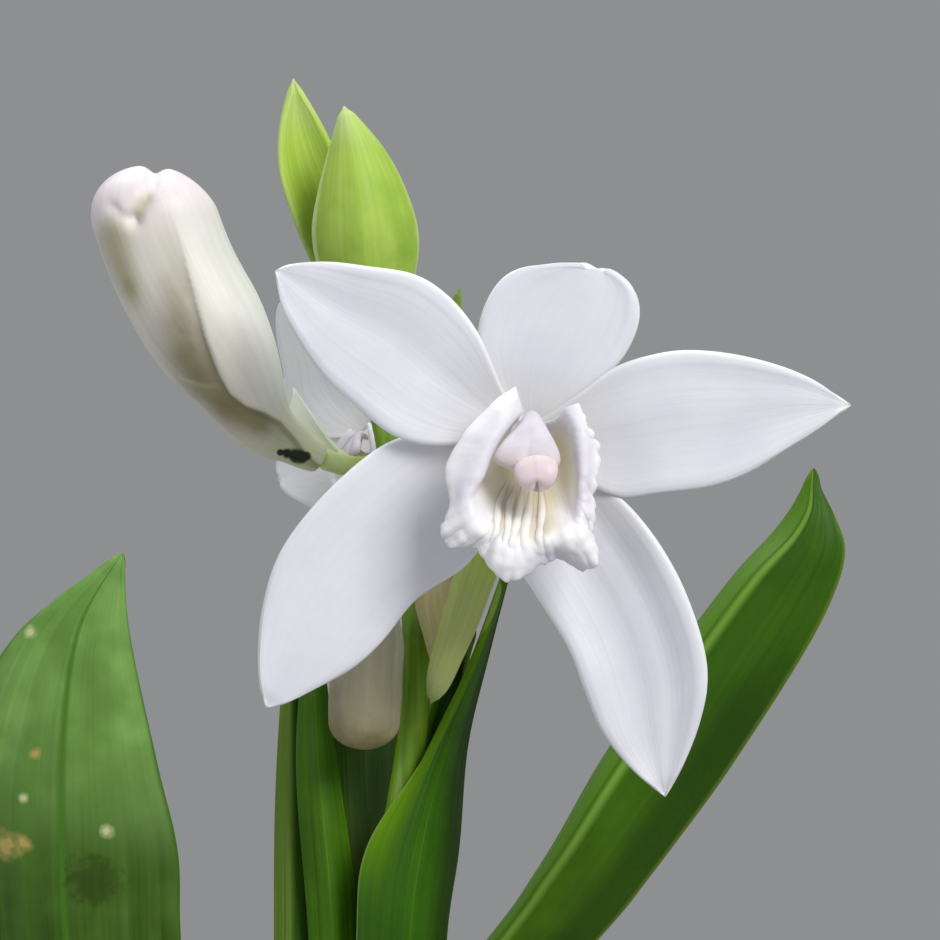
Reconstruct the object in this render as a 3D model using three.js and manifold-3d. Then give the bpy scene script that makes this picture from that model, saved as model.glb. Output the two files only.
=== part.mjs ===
// White bletilla orchid in a plain clay pot, as a standalone three.js model.
// Millimetres, +Z up. The origin lies on the ground under the middle of the pot, and the open flower
// faces -Y. Every blade is a closed solid of even thickness, and touching pieces keep a narrow gap.
import * as THREE from 'three';
import Module from 'manifold-3d';

const wasm = await Module();
wasm.setup();

// Driving dimensions -------------------------------------------------------------------------------
// A blade stops at a share of its edges' length, so that its tip stays a little blunt.
const gap = 0.3;
const leafThickness = 0.7;
const tepalThickness = 0.8;
const lipThickness = 0.6;
const leafEnd = 0.996;
const tepalEnd = 0.985;

const pot = {
  height: 105, baseRadius: 42, rimRadius: 60, rimHeight: 22, rimStep: 3,
  wall: 4.5, floor: 6, holes: 3, holeRadius: 4.5, holeRing: 22, segments: 28,
};
const soil = { top: 93.4, mound: 1, roughness: 0.4 };
const corm = { radius: 11, height: 7, level: 90 };
const crown = 95;
const sheath = { top: 118, seam: 0.4 };
const frontFlower = { centre: [13.5, -14, 266.6], turn: 0, roll: 0, nod: 0, scale: 1 };
const backFlower = { centre: [0, 13.5, 265.9], turn: -0.6, roll: 0.3, nod: 0, scale: 0.7 };
const backLip = { scale: 0.5, forward: 2.6, margin: 0.3, columnScale: 0.7 };

const finish = {
  clay: [0xb5694a, 0.9],
  soil: [0x4a3626, 1.0],
  corm: [0xa8995f, 0.85],
  leaf: [0x467a22, 0.55],
  stem: [0x6b9430, 0.55],
  bract: [0xa9c656, 0.55],
  paleBract: [0x94a765, 0.6],
  petal: [0xe6e6ee, 0.6],
  lip: [0xf3f0f5, 0.6],
  column: [0xe9dbe4, 0.5],
  cap: [0xe6d5d4, 0.5],
  bud: [0xe0e0d0, 0.55],
  tanBud: [0xb3a98a, 0.6],
};

// Solids -------------------------------------------------------------------------------------------
const plant = new THREE.Group();

function signedVolume(positions, index) {
  const a = new THREE.Vector3();
  const b = new THREE.Vector3();
  const c = new THREE.Vector3();
  let sum = 0;
  for (let i = 0; i < index.length; i += 3) {
    a.fromArray(positions, 3 * index[i]);
    b.fromArray(positions, 3 * index[i + 1]);
    c.fromArray(positions, 3 * index[i + 2]);
    sum += a.dot(b.cross(c));
  }
  return sum;
}

function closedGeometry(positions, index) {
  if (signedVolume(positions, index) < 0) {
    for (let i = 0; i < index.length; i += 3) {
      [index[i + 1], index[i + 2]] = [index[i + 2], index[i + 1]];
    }
  }
  const geometry = new THREE.BufferGeometry();
  geometry.setAttribute('position', new THREE.Float32BufferAttribute(positions, 3));
  geometry.setIndex(index);
  return geometry;
}

function toSolid(geometry) {
  return new wasm.Manifold(new wasm.Mesh({
    numProp: 3,
    vertProperties: Float32Array.from(geometry.attributes.position.array),
    triVerts: Uint32Array.from(geometry.index.array),
  }));
}

function toGeometry(solid) {
  const mesh = solid.getMesh();
  const geometry = new THREE.BufferGeometry();
  geometry.setAttribute('position', new THREE.Float32BufferAttribute(mesh.vertProperties, 3));
  geometry.setIndex(Array.from(mesh.triVerts));
  return geometry;
}

const cut = (geometry, tool) => toGeometry(toSolid(geometry).subtract(toSolid(tool)));
const fuse = (...parts) => toGeometry(parts.map(toSolid).reduce((whole, part) => whole.add(part)));

function place(name, geometry, [color, roughness]) {
  const material = new THREE.MeshStandardMaterial({ color, roughness, metalness: 0 });
  const mesh = new THREE.Mesh(geometry, material);
  mesh.name = name;
  plant.add(mesh);
}

const vector = (point) => new THREE.Vector3(...point);
const smooth = (points) => new THREE.CatmullRomCurve3(points.map(vector), false, 'centripetal');
const step = (low, high, x) => THREE.MathUtils.smoothstep(x, low, high);

// A blade: the surface point(u, v), u from -1 to 1 across and v from 0 to 1 along, made a closed sheet.
function sheet(point, across, along, thickness) {
  const positions = [];
  const index = [];
  const rows = along + 1;
  const columns = across + 1;
  const reach = 0.01;
  for (const side of [0.5, -0.5]) {
    for (let j = 0; j < rows; j += 1) {
      for (let i = 0; i < columns; i += 1) {
        const u = (2 * i) / across - 1;
        const v = j / along;
        const du = point(Math.min(u + reach, 1), v).sub(point(Math.max(u - reach, -1), v));
        const dv = point(u, Math.min(v + reach, 1)).sub(point(u, Math.max(v - reach, 0)));
        const normal = du.cross(dv).normalize();
        positions.push(...point(u, v).addScaledVector(normal, side * thickness).toArray());
      }
    }
  }
  const under = rows * columns;
  const wall = (a, b) => index.push(a, b, under + b, a, under + b, under + a);
  for (let j = 0; j < along; j += 1) {
    for (let i = 0; i < across; i += 1) {
      const a = j * columns + i;
      const [b, c, d] = [a + 1, a + columns, a + columns + 1];
      index.push(a, b, d, a, d, c);
      index.push(under + a, under + d, under + b, under + a, under + c, under + d);
    }
    wall(j * columns, (j + 1) * columns);
    wall((j + 1) * columns + across, j * columns + across);
  }
  for (let i = 0; i < across; i += 1) {
    wall(i + 1, i);
    wall(along * columns + i, along * columns + i + 1);
  }
  return closedGeometry(positions, index);
}

// A stalk or bud: a closed sweep along part of a curve. section(angle, t) is the radius in millimetres,
// flat is how much narrower it is along the second axis, gather above 1 brings the cross-sections closer
// together towards the end, and lobe(angle, t) pushes points on along the curve.
function sweep(curve, section, options) {
  const { from = 0, to = 1, sides = 12, steps = 16, flat = 1, up = [0, 1, 0], gather = 1, lobe } = options;
  const positions = [];
  const index = [];
  for (let j = 0; j <= steps; j += 1) {
    const t = 1 - (1 - j / steps) ** gather;
    const at = from + (to - from) * t;
    const middle = curve.getPointAt(at);
    const tangent = curve.getTangentAt(at);
    const across = vector(up).cross(tangent).normalize();
    const depth = tangent.clone().cross(across);
    for (let i = 0; i < sides; i += 1) {
      const angle = (2 * Math.PI * i) / sides;
      const radius = section(angle, t);
      const point = middle.clone().addScaledVector(across, radius * Math.cos(angle));
      point.addScaledVector(depth, flat * radius * Math.sin(angle));
      if (lobe) point.addScaledVector(tangent, lobe(angle, t));
      positions.push(...point.toArray());
    }
  }
  const start = positions.length / 3;
  positions.push(...curve.getPointAt(from).toArray(), ...curve.getPointAt(to).toArray());
  for (let i = 0; i < sides; i += 1) {
    const next = (i + 1) % sides;
    index.push(start, next, i, start + 1, steps * sides + i, steps * sides + next);
    for (let j = 0; j < steps; j += 1) {
      const a = j * sides;
      const b = a + sides;
      index.push(a + i, a + next, b + next, a + i, b + next, b + i);
    }
  }
  return closedGeometry(positions, index);
}

// Pot, soil and corm -------------------------------------------------------------------------------
function lathe(profile, segments) {
  const outline = profile.map(([x, y]) => new THREE.Vector2(x, y));
  const turned = new THREE.LatheGeometry(outline, segments).rotateX(Math.PI / 2);
  turned.deleteAttribute('normal');
  turned.deleteAttribute('uv');
  return mergeRings(turned, outline, segments);
}

// The lathe repeats its first column of points, and each point on the axis once for every column.
function mergeRings(geometry, outline, segments) {
  const count = outline.length;
  const source = geometry.attributes.position;
  const positions = [];
  const renamed = new Map();
  for (let k = 0; k < source.count; k += 1) {
    const column = Math.floor(k / count) % segments;
    const row = k % count;
    const key = outline[row].x < 1e-6 ? row : column * count + row;
    if (!renamed.has(key)) {
      renamed.set(key, positions.length / 3);
      positions.push(source.getX(key), source.getY(key), source.getZ(key));
    }
    renamed.set(`of ${k}`, renamed.get(key));
  }
  const index = [];
  for (let i = 0; i < geometry.index.count; i += 3) {
    const corner = [0, 1, 2].map((n) => renamed.get(`of ${geometry.index.getX(i + n)}`));
    if (new Set(corner).size === 3) index.push(...corner);
  }
  return closedGeometry(positions, index);
}

function cormShape(grow) {
  const turns = 10;
  const profile = [];
  for (let k = 0; k <= turns; k += 1) {
    const angle = -Math.PI / 2 + (Math.PI * k) / turns;
    const radius = (corm.radius + grow) * Math.cos(angle);
    profile.push([k % turns ? radius : 0, corm.level + (corm.height + grow) * Math.sin(angle)]);
  }
  return lathe(profile, 20);
}

const wallRadius = (z) => {
  const shoulder = pot.height - pot.rimHeight;
  const top = pot.rimRadius - pot.rimStep;
  return pot.baseRadius + ((top - pot.baseRadius) * Math.min(z, shoulder)) / shoulder;
};

function buildPot() {
  const shoulder = pot.height - pot.rimHeight;
  const inner = pot.rimRadius - pot.wall;
  const body = lathe([
    [0, 0], [pot.baseRadius - 1.5, 0], [pot.baseRadius, 1.5],
    [wallRadius(shoulder), shoulder], [pot.rimRadius - 0.8, shoulder + 0.5],
    [pot.rimRadius, shoulder + 2], [pot.rimRadius, pot.height - 2],
    [pot.rimRadius - 1.2, pot.height], [inner + 0.8, pot.height], [inner, pot.height - 1.4],
    [inner, shoulder], [pot.baseRadius - pot.wall, pot.floor + 2],
    [pot.baseRadius - pot.wall - 2, pot.floor], [0, pot.floor],
  ], pot.segments);
  let drained = body;
  for (let k = 0; k < pot.holes; k += 1) {
    const angle = (2 * Math.PI * k) / pot.holes;
    const drill = lathe([[0, -1], [pot.holeRadius, -1], [pot.holeRadius, 9], [0, 9]], 16);
    drill.translate(pot.holeRing * Math.cos(angle), pot.holeRing * Math.sin(angle), 0);
    drained = cut(drained, drill);
  }
  place('pot', drained, finish.clay);
}

function buildSoil() {
  const shoulder = pot.height - pot.rimHeight;
  const inner = pot.rimRadius - pot.wall - gap;
  const rings = [
    [0, pot.floor + gap], [pot.baseRadius - pot.wall - 3, pot.floor + gap],
    [pot.baseRadius - pot.wall - gap, pot.floor + 2 + gap], [inner, shoulder + gap], [inner, soil.top - 1.5],
  ];
  const topRings = 5;
  for (let k = 0; k <= topRings; k += 1) {
    const radius = (inner - 1) * (1 - k / topRings);
    rings.push([radius, soil.top + soil.mound * (1 - (radius / inner) ** 2)]);
  }
  const bed = lathe(rings, pot.segments);
  const corners = bed.attributes.position;
  for (let k = 0; k < corners.count; k += 1) {
    const [x, y, z] = [corners.getX(k), corners.getY(k), corners.getZ(k)];
    const bump = Math.sin(0.9 * x + 2.1 * Math.sin(0.33 * y)) * Math.cos(0.7 * y - 1.3 * Math.sin(0.41 * x));
    if (z > soil.top - 0.1) corners.setZ(k, z + soil.roughness * bump);
  }
  place('soil', cut(bed, cormShape(gap)), finish.soil);
}

// Leaves -------------------------------------------------------------------------------------------
// A leaf is spanned by three rails: an edge, the rib and the other edge, as [x, y, z] points. Its foot
// is half a sheath round the stem, on one side of it. fold is 0 for a round channel, 1 for a sharp V,
// and gather above 1 brings the cross-sections closer together towards the tip.
function bladeSurface({ left, rib, right, fold = 0, wave = 0, waves = 3, gather = 1, end = tepalEnd }) {
  const rails = [left, rib, right].map(smooth);
  return (u, t) => {
    const v = 1 - (1 - t) ** gather;
    const [a, m, b] = rails.map((rail) => rail.getPointAt(v * end));
    const bow = a.clone().add(b).multiplyScalar(0.5).sub(m);
    const half = b.clone().sub(a).multiplyScalar(0.5);
    const point = m.addScaledVector(half, u);
    point.addScaledVector(bow, fold * Math.abs(u) + (1 - fold) * u * u);
    point.y += wave * u * Math.abs(u) * Math.sin(2 * Math.PI * waves * v + u) * Math.sin(Math.PI * v);
    return point;
  };
}

function sheathed(side, radius, stations) {
  const seam = sheath.seam * side;
  const foot = (z) => [[seam, -radius, z], [side * radius, 0, z], [seam, radius, z]];
  const rows = [foot(crown), foot(0.5 * (crown + sheath.top)), foot(sheath.top), ...stations];
  const pick = (k) => rows.map((row) => row[k] ?? row[0]);
  return { front: pick(0), rib: pick(1), back: pick(2) };
}

const leaves = {
  left_broad_leaf: {
    side: -1, radius: 6.6, fold: 0.2, wave: 0.5,
    stations: [
      [[-9, -6.5, 150], [-15, -3.5, 151], [-19, 1.5, 152]],
      [[-14.5, -8, 184], [-23, -7, 186], [-30, -2.5, 188]],
      [[-18.4, -6.5, 220], [-28.5, -8, 220], [-38, -4.5, 220]],
      [[-20.5, -6, 236], [-29, -8, 237], [-39, -4.5, 236]],
      [[-23.2, -6, 249], [-27.5, -7.4, 248.5], [-34, -5, 247.2]],
      [[-23.6, -5.6, 255.6]],
    ],
  },
  right_strap_leaf: {
    side: 1, radius: 5.8, fold: 0.6, wave: 0,
    stations: [
      [[3.6, -5.8, 136], [8, -1.8, 136], [5.4, 5.8, 136]],
      [[7.2, -3.4, 160], [9.7, -2.2, 160], [12, 4.6, 160]],
      [[9, 3, 190], [10.4, 0.6, 190], [16.4, 5, 190]],
      [[9.9, 7.6, 219], [10.8, 4, 219.6], [19.8, 6, 219]],
      [[21.3, 7.6, 236.7], [22.4, 4, 235.4], [32.6, 6, 235.4]],
      [[33.1, 7.6, 253.1], [34.5, 4, 252.4], [41.6, 5, 250.3]],
      [[37.4, 7, 258.2], [38.6, 4.4, 257.4], [43, 4.4, 255.8]],
      [[40.4, 6.4, 263.3]],
    ],
  },
  big_folded_leaf: {
    side: 1, radius: 4.2, fold: 0.1, wave: 0,
    stations: [
      [[-2.4, -4.4, 168], [3.4, -4, 168], [4.8, 3.2, 168]],
      [[-3.9, -3.8, 219.7], [2.2, -4.4, 219.7], [5.8, 2.4, 219.3]],
      [[-1.5, -3.4, 228], [3.4, -3.8, 228], [7, 2.4, 228]],
      [[3.5, -2.6, 236], [5.6, -2.2, 237], [7.8, 2.4, 237.6]],
      [[7.8, -1.2, 244], [8.6, -0.4, 245], [9.7, 2, 246]],
      [[11.8, 1, 254.6]],
    ],
  },
  second_leaf: {
    side: -1, radius: 3.4, fold: 0.3, wave: 0,
    stations: [
      [[-1.6, -3.2, 150], [-4.2, -1, 150], [-2.8, 3.2, 150]],
      [[-3.6, -2.2, 180], [-5, -0.8, 180], [-5, 2.6, 180]],
      [[-2.9, 1.8, 219.7], [-4.8, 0.2, 219.7], [-6.8, 2.2, 219.7]],
      [[-4.4, 2, 236.7], [-6, 0.8, 237], [-7.9, 2.2, 237]],
      [[-6.6, 2.2, 251.5]],
    ],
  },
  far_left_leaf: {
    side: -1, radius: 5, fold: 0.5, wave: 0,
    stations: [
      [[-6, -2.6, 168], [-7.2, 0.6, 168], [-5.6, 4.4, 168]],
      [[-6.4, 2.8, 195], [-8.3, 2.3, 195], [-9.2, 4.8, 195]],
      [[-5.8, 5.4, 219.3], [-8, 3.7, 219.3], [-10.1, 5.4, 219.3]],
      [[-6.9, 5.6, 238], [-8.2, 4.4, 238], [-9.8, 5.4, 238]],
      [[-8.4, 5, 250.5]],
    ],
  },
  short_leaf: {
    side: 1, radius: 2.8, fold: 0.2, wave: 0,
    stations: [
      [[3, -0.4, 168], [2.4, 2.6, 168], [-1.2, 3.4, 168]],
      [[2.1, 3.3, 219], [-0.6, 4.4, 219], [-3.7, 3.6, 219]],
      [[1, 3.8, 236], [-1.6, 4.8, 236], [-4.2, 3.8, 236]],
      [[-2, 4.4, 249]],
    ],
  },
};

function buildLeaves() {
  for (const [name, { side, radius, stations, fold, wave }] of Object.entries(leaves)) {
    const { front, rib, back } = sheathed(side, radius, stations);
    const form = { left: front, rib, right: back, fold, wave, gather: 1.7, end: leafEnd };
    place(name, cut(sheet(bladeSurface(form), 4, 20, leafThickness), cormShape(gap)), finish.leaf);
  }
}

// Stem, stalks and buds ----------------------------------------------------------------------------
const stemLine = smooth([
  [0, 0, crown], [-0.3, 0, 150], [-0.7, 0, 200], [-0.6, 0, 222], [1.2, 0, 232], [2.6, 0, 240],
  [3, 0, 249], [2.4, 1, 256.5], [0.7, 2, 265], [-1, 3, 273.2], [-1.8, 3, 279.5],
]);
const stemRadius = (t) => THREE.MathUtils.lerp(1.8, 1.0, step(0.3, 1, t));

// Each stalk leaves the stem and runs on, past a narrow gap, as the ovary or bud on its end.
const stalks = {
  front: {
    end: 0.32, radius: 1.05,
    line: smooth([[3, 0, 247], [4.5, -1.6, 251.5], [9, -3.6, 258], [13, -8, 264.6], [13.5, -12.9, 266.6]]),
  },
  back: {
    end: 0.4, radius: 0.9,
    line: smooth([[2.6, 1, 256], [5.4, 5.5, 258.6], [6.4, 12, 261.8], [3.8, 16.2, 265], [0.6, 14.4, 265.9]]),
  },
  tall: {
    end: 0.19, radius: 1,
    line: smooth([[0.9, 1.6, 263.5], [-2.6, -0.6, 263.3], [-6.4, -2.4, 264.4], [-8.3, -3, 265.5],
      [-10.8, -4, 267.3], [-14.6, -5, 273.4], [-19.2, -5, 281.5], [-21.2, -5, 287.5], [-21, -5, 290.6]]),
  },
  nodding: {
    end: 0.28, radius: 0.8,
    line: smooth([[2.8, 0, 252.5], [1.4, -3, 254.2], [-0.3, -5, 252.6], [-0.8, -5.4, 249],
      [-1.2, -5.4, 242.5], [-1.5, -5.4, 237]]),
  },
};

const pastStalk = ({ line, end }) => ({ line, start: end + gap / line.getLength() });

function buildStem() {
  const parts = [sweep(stemLine, (angle, t) => stemRadius(t), { sides: 8, steps: 24 })];
  for (const { line, end, radius } of Object.values(stalks)) {
    parts.push(sweep(line, () => radius, { to: end, sides: 6, steps: 5, up: [0.3, 0.2, 1] }));
  }
  place('flower_stem', cut(fuse(...parts), cormShape(gap)), finish.stem);
}

// A closed bud swells from its neck to its full width, and rounds off over the last part, from blunt on.
// Its sepals meet in three seams that turn a little round it.
const buds = {
  tall: { width: 5.75, neck: 0.19, full: 0.62, blunt: 0.86, seam: 0.13, sharp: 8, start: 0.9, turn: -0.8 },
  nodding: { width: 3.5, neck: 0.26, full: 0.6, blunt: 0.72, seam: 0.08, sharp: 8, start: 0.4, turn: 0 },
  terminal: { width: 2.2, neck: 0.5, full: 0.4, blunt: 0.6, seam: 0.06, sharp: 6, start: 0.6, turn: 0.5 },
};
const thinnest = 0.15;

const budWidth = ({ width, neck, full, blunt, seam, sharp, start, turn }) => (angle, t) => {
  const swell = THREE.MathUtils.lerp(neck, 1, step(-0.05, full, t));
  const past = Math.max(0, t - blunt) / (1.01 - blunt);
  const close = Math.sqrt(Math.max(0, 1 - past * past));
  const groove = Math.abs(Math.cos(1.5 * angle + start + turn * t)) ** sharp;
  return Math.max(thinnest, width * swell * close * (1 - seam * groove));
};

function buildBuds() {
  const tall = pastStalk(stalks.tall);
  const lobe = (angle, t) => step(0.84, 0.97, t) * (0.5 - 0.9 * Math.sin(angle + 0.9) ** 2);
  const tallForm = { from: tall.start, sides: 20, steps: 18, flat: 0.86, gather: 1.6, lobe };
  place('tall_bud', sweep(tall.line, budWidth(buds.tall), tallForm), finish.bud);

  const nodding = pastStalk(stalks.nodding);
  const noddingForm = { from: nodding.start, sides: 14, steps: 12, flat: 0.8, up: [0, 1, 0.2], gather: 1.4 };
  place('nodding_bud', sweep(nodding.line, budWidth(buds.nodding), noddingForm), finish.tanBud);

  const tip = smooth([[-1.85, 3, 279.8], [-2.4, 2.8, 284], [-3.2, 2.8, 289], [-3.8, 2.8, 292.5]]);
  place('terminal_bud', sweep(tip, budWidth(buds.terminal), { sides: 8, steps: 8 }), finish.bract);
}

// Bracts -------------------------------------------------------------------------------------------
const bracts = {
  right_green_bract: {
    finish: 'bract', fold: 0.25,
    left: [[-3, 2.2, 275.5], [-5.4, 1.6, 280], [-6.5, 1.2, 284.7], [-5.9, 0.8, 289], [-4.9, 0.8, 292.6],
      [-3.6, 1, 296.8]],
    rib: [[-1.4, 0.8, 275.5], [-1.2, -1.2, 280], [-1.4, -2.4, 284.7], [-1.9, -2, 289], [-2.6, -1, 292.8],
      [-3.6, 1, 296.8]],
    right: [[0.3, 2.4, 275.5], [2.5, 2.4, 279.5], [3.3, 2, 284.5], [2.1, 1.4, 289], [0, 1, 292.8],
      [-3.6, 1, 296.8]],
  },
  left_green_bract: {
    finish: 'bract', fold: 0.25,
    left: [[-3.4, 4.4, 275.5], [-5.6, 4.6, 280], [-8.2, 4.6, 286], [-9.7, 4.4, 291], [-9.6, 4.2, 295],
      [-8.4, 4.4, 299.6]],
    rib: [[-1.6, 4.9, 275.5], [-2.6, 6.4, 280], [-4.6, 7, 286], [-6.6, 6.6, 291], [-7.8, 5.8, 295],
      [-8.4, 4.4, 299.6]],
    right: [[0.4, 4.4, 275.5], [0.6, 5.2, 280], [-1.6, 5.8, 286], [-3.8, 5.6, 291], [-5.6, 5.2, 295],
      [-8.4, 4.4, 299.6]],
  },
  pale_bract: {
    finish: 'paleBract', fold: 0.3,
    left: [[6.2, -5.2, 257.5], [7, -6, 255.7], [6.4, -6.4, 252], [5.3, -6.6, 248.1], [4.4, -6.4, 244.4],
      [4.5, -6, 241.6]],
    rib: [[7.6, -6.4, 258.5], [8.8, -7.4, 256], [7.8, -7.6, 252], [6.4, -7.6, 247.6], [5.1, -7, 244],
      [4.5, -6, 241.6]],
    right: [[9, -6.2, 258.5], [10.7, -6.4, 255.2], [9.5, -6.6, 250.7], [7.3, -6.8, 245.6],
      [5.9, -6.4, 242.8], [4.5, -6, 241.6]],
  },
  stem_bract: {
    finish: 'tanBud', fold: 0,
    left: [[4.6, -1.8, 244.8], [3.9, -2.5, 247.5], [3.1, -2.9, 250.8], [3.2, -3.2, 253.4]],
    rib: [[5.1, -1.6, 244.8], [5.3, -2.6, 247.5], [4.9, -3.4, 250.8], [4.9, -4, 253.4]],
    right: [[5.6, -1.2, 244.8], [6.3, -1.6, 247.5], [6.7, -2.6, 251], [6.4, -3.9, 253.4]],
  },
  tall_bud_bract: {
    finish: 'paleBract', fold: 0,
    left: [[-3.4, 0.9, 263.9], [-6.6, -0.4, 266.2], [-8.6, -1, 269.2], [-8.7, -1.6, 271.6]],
    rib: [[-3.1, 1.3, 264.7], [-5.4, 0.6, 267.2], [-7.4, 0, 269.8], [-8.7, -1.6, 271.6]],
    right: [[-2.6, 1.1, 265.4], [-4.4, 0, 268], [-6.6, -0.6, 270.6], [-8.7, -1.6, 271.6]],
  },
  upper_bract: {
    finish: 'bract', fold: 0.2,
    left: [[0.9, 3.6, 262.5], [2.2, 5, 268], [5, 6, 275], [7.2, 6, 280.2]],
    rib: [[2.3, 3.6, 262.5], [4, 4.4, 268], [6.2, 5.4, 275], [7.2, 6, 280.2]],
    right: [[3.2, 2.4, 262.5], [5.6, 3.8, 268], [7.2, 5.4, 275], [7.2, 6, 280.2]],
  },
};

function buildBracts() {
  for (const [name, bract] of Object.entries(bracts)) {
    place(name, sheet(bladeSurface(bract), 4, 10, leafThickness), finish[bract.finish]);
  }
}

// Flowers ------------------------------------------------------------------------------------------
// In a flower's own frame x is to the right as seen from in front, z is up and f is forward.
function flowerFrame({ centre, turn, roll, nod, scale }) {
  const forward = new THREE.Vector3(Math.sin(turn), -Math.cos(turn), -Math.sin(nod)).normalize();
  const right = new THREE.Vector3(0, 0, 1).cross(forward).normalize();
  const up = forward.clone().cross(right);
  const [cos, sin] = [Math.cos(roll), Math.sin(roll)];
  return (x, z, f) => vector(centre)
    .addScaledVector(right, scale * (cos * x - sin * z))
    .addScaledVector(up, scale * (sin * x + cos * z))
    .addScaledVector(forward, scale * f);
}

// A tepal's two edges run from its claw to its tip as [x, z] points. It starts at its layer, rises
// forward, droops again towards the tip, and its edges stand cup forward of the middle.
function tepalSurface(frame, { edgeA, edgeB, layer, rise, droop, cup }) {
  const lift = ([x, z]) => [x, 0, z];
  const rails = [edgeA, edgeB].map((edge) => smooth(edge.map(lift)));
  return (u, v) => {
    const [a, b] = rails.map((rail) => rail.getPointAt(v * tepalEnd));
    const point = a.lerp(b, (u + 1) / 2);
    const bowl = cup * u * u * Math.sin(Math.PI * Math.min(1, 0.15 + 0.8 * v));
    return frame(point.x, point.z, layer + rise * v - droop * v * v + bowl);
  };
}

const frontTepals = {
  dorsal_sepal: {
    layer: 0, rise: 3, droop: 1.4, cup: 0.7,
    edgeA: [[-0.6, 0.6], [-3.4, 4.5], [-4.7, 8.1], [-4.1, 11.1], [-2.8, 13.3], [-1.2, 14.4], [1.5, 14.8],
      [4.2, 14.8], [6, 14.5]],
    edgeB: [[0.7, 0.5], [4.9, 3.4], [7.6, 5.6], [9, 7.6], [9.8, 10.1], [9.5, 12.2], [8.1, 13.6],
      [6, 14.5]],
  },
  left_sepal: {
    layer: 0, rise: 2.6, droop: 1, cup: 0.7,
    edgeA: [[-1.5, -0.4], [-8.1, -0.7], [-12.4, -1.5], [-17.8, -5.2], [-22.4, -10.9], [-24, -15.8],
      [-24.4, -20.3], [-24.2, -23], [-23.7, -24.9]],
    edgeB: [[-0.8, -1.2], [-2.7, -7.2], [-5.5, -11.9], [-10.2, -15.2], [-13.5, -19.2], [-16.1, -21.5],
      [-19.4, -23.3], [-22.4, -24.7], [-23.7, -24.9]],
  },
  right_sepal: {
    layer: 0, rise: 3.4, droop: 1.4, cup: 0.7,
    edgeA: [[0.4, -1.4], [-1.2, -6.3], [-1.4, -11.7], [0.2, -14.4], [3.5, -19.8], [4.9, -23.5],
      [6.5, -27.2], [9.2, -30.5], [12.1, -32.9]],
    edgeB: [[1.3, -0.7], [4.9, -3.6], [9.2, -7.2], [13.1, -12.9], [15.5, -19.5], [15.8, -22.7],
      [15.1, -26.3], [13.7, -30], [12.1, -32.9]],
  },
  left_petal: {
    layer: 1.3, rise: 3.4, droop: 1, cup: 0.7,
    edgeA: [[-1.3, -0.6], [-5.4, -1.2], [-9, -1.4], [-12.4, -0.4], [-16.4, 2.8], [-18.8, 5.1],
      [-20.8, 8.1], [-22.2, 11], [-22.8, 14.2]],
    edgeB: [[-0.6, 0.8], [-2.3, 3.4], [-4.9, 9], [-7.5, 12.1], [-10.2, 13.8], [-14.7, 14.6],
      [-18.4, 15], [-21.6, 14.7], [-22.8, 14.2]],
  },
  right_petal: {
    layer: 1.3, rise: 3.4, droop: 1.6, cup: 0.8,
    edgeA: [[0.8, 0.8], [4.5, 3.4], [7.6, 5.6], [10.5, 6.6], [13.8, 7.1], [18.9, 6.6], [24.2, 5],
      [28.7, 2.2]],
    edgeB: [[1.1, -0.7], [4, -4], [7.6, -5.9], [11.7, -5.6], [16.2, -5], [19.7, -3.7], [24.2, -0.9],
      [28.7, 2.2]],
  },
};

// A plain tepal: a pointed oval of a length and half width, at an angle round the flower's axis.
function ovalTepal(angle, length, halfWidth, rest) {
  const widths = [[0.09, 0.13], [0.25, 0.6], [0.45, 0.95], [0.6, 1], [0.78, 0.82], [0.92, 0.42], [1, 0]];
  const edge = (side) => widths.map(([t, width]) => {
    const half = side * halfWidth * width;
    const [cos, sin] = [Math.cos(angle), Math.sin(angle)];
    return [length * t * cos - half * sin, length * t * sin + half * cos];
  });
  return { edgeA: edge(1), edgeB: edge(-1), ...rest };
}

const sepalForm = { layer: 0, rise: 5, droop: 2, cup: 0.8 };
const petalForm = { layer: 1.9, rise: 5, droop: 2, cup: 0.8 };
const backTepals = {
  back_left_petal: ovalTepal(1.86, 24, 5.6, petalForm),
  back_left_sepal: ovalTepal(3.3, 17.3, 5.0, sepalForm),
  back_dorsal_sepal: ovalTepal(0.6, 17, 4.6, sepalForm),
  back_right_petal: ovalTepal(-0.5, 14, 4.4, petalForm),
  back_right_sepal: ovalTepal(4.75, 17, 4.4, sepalForm),
};

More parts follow.
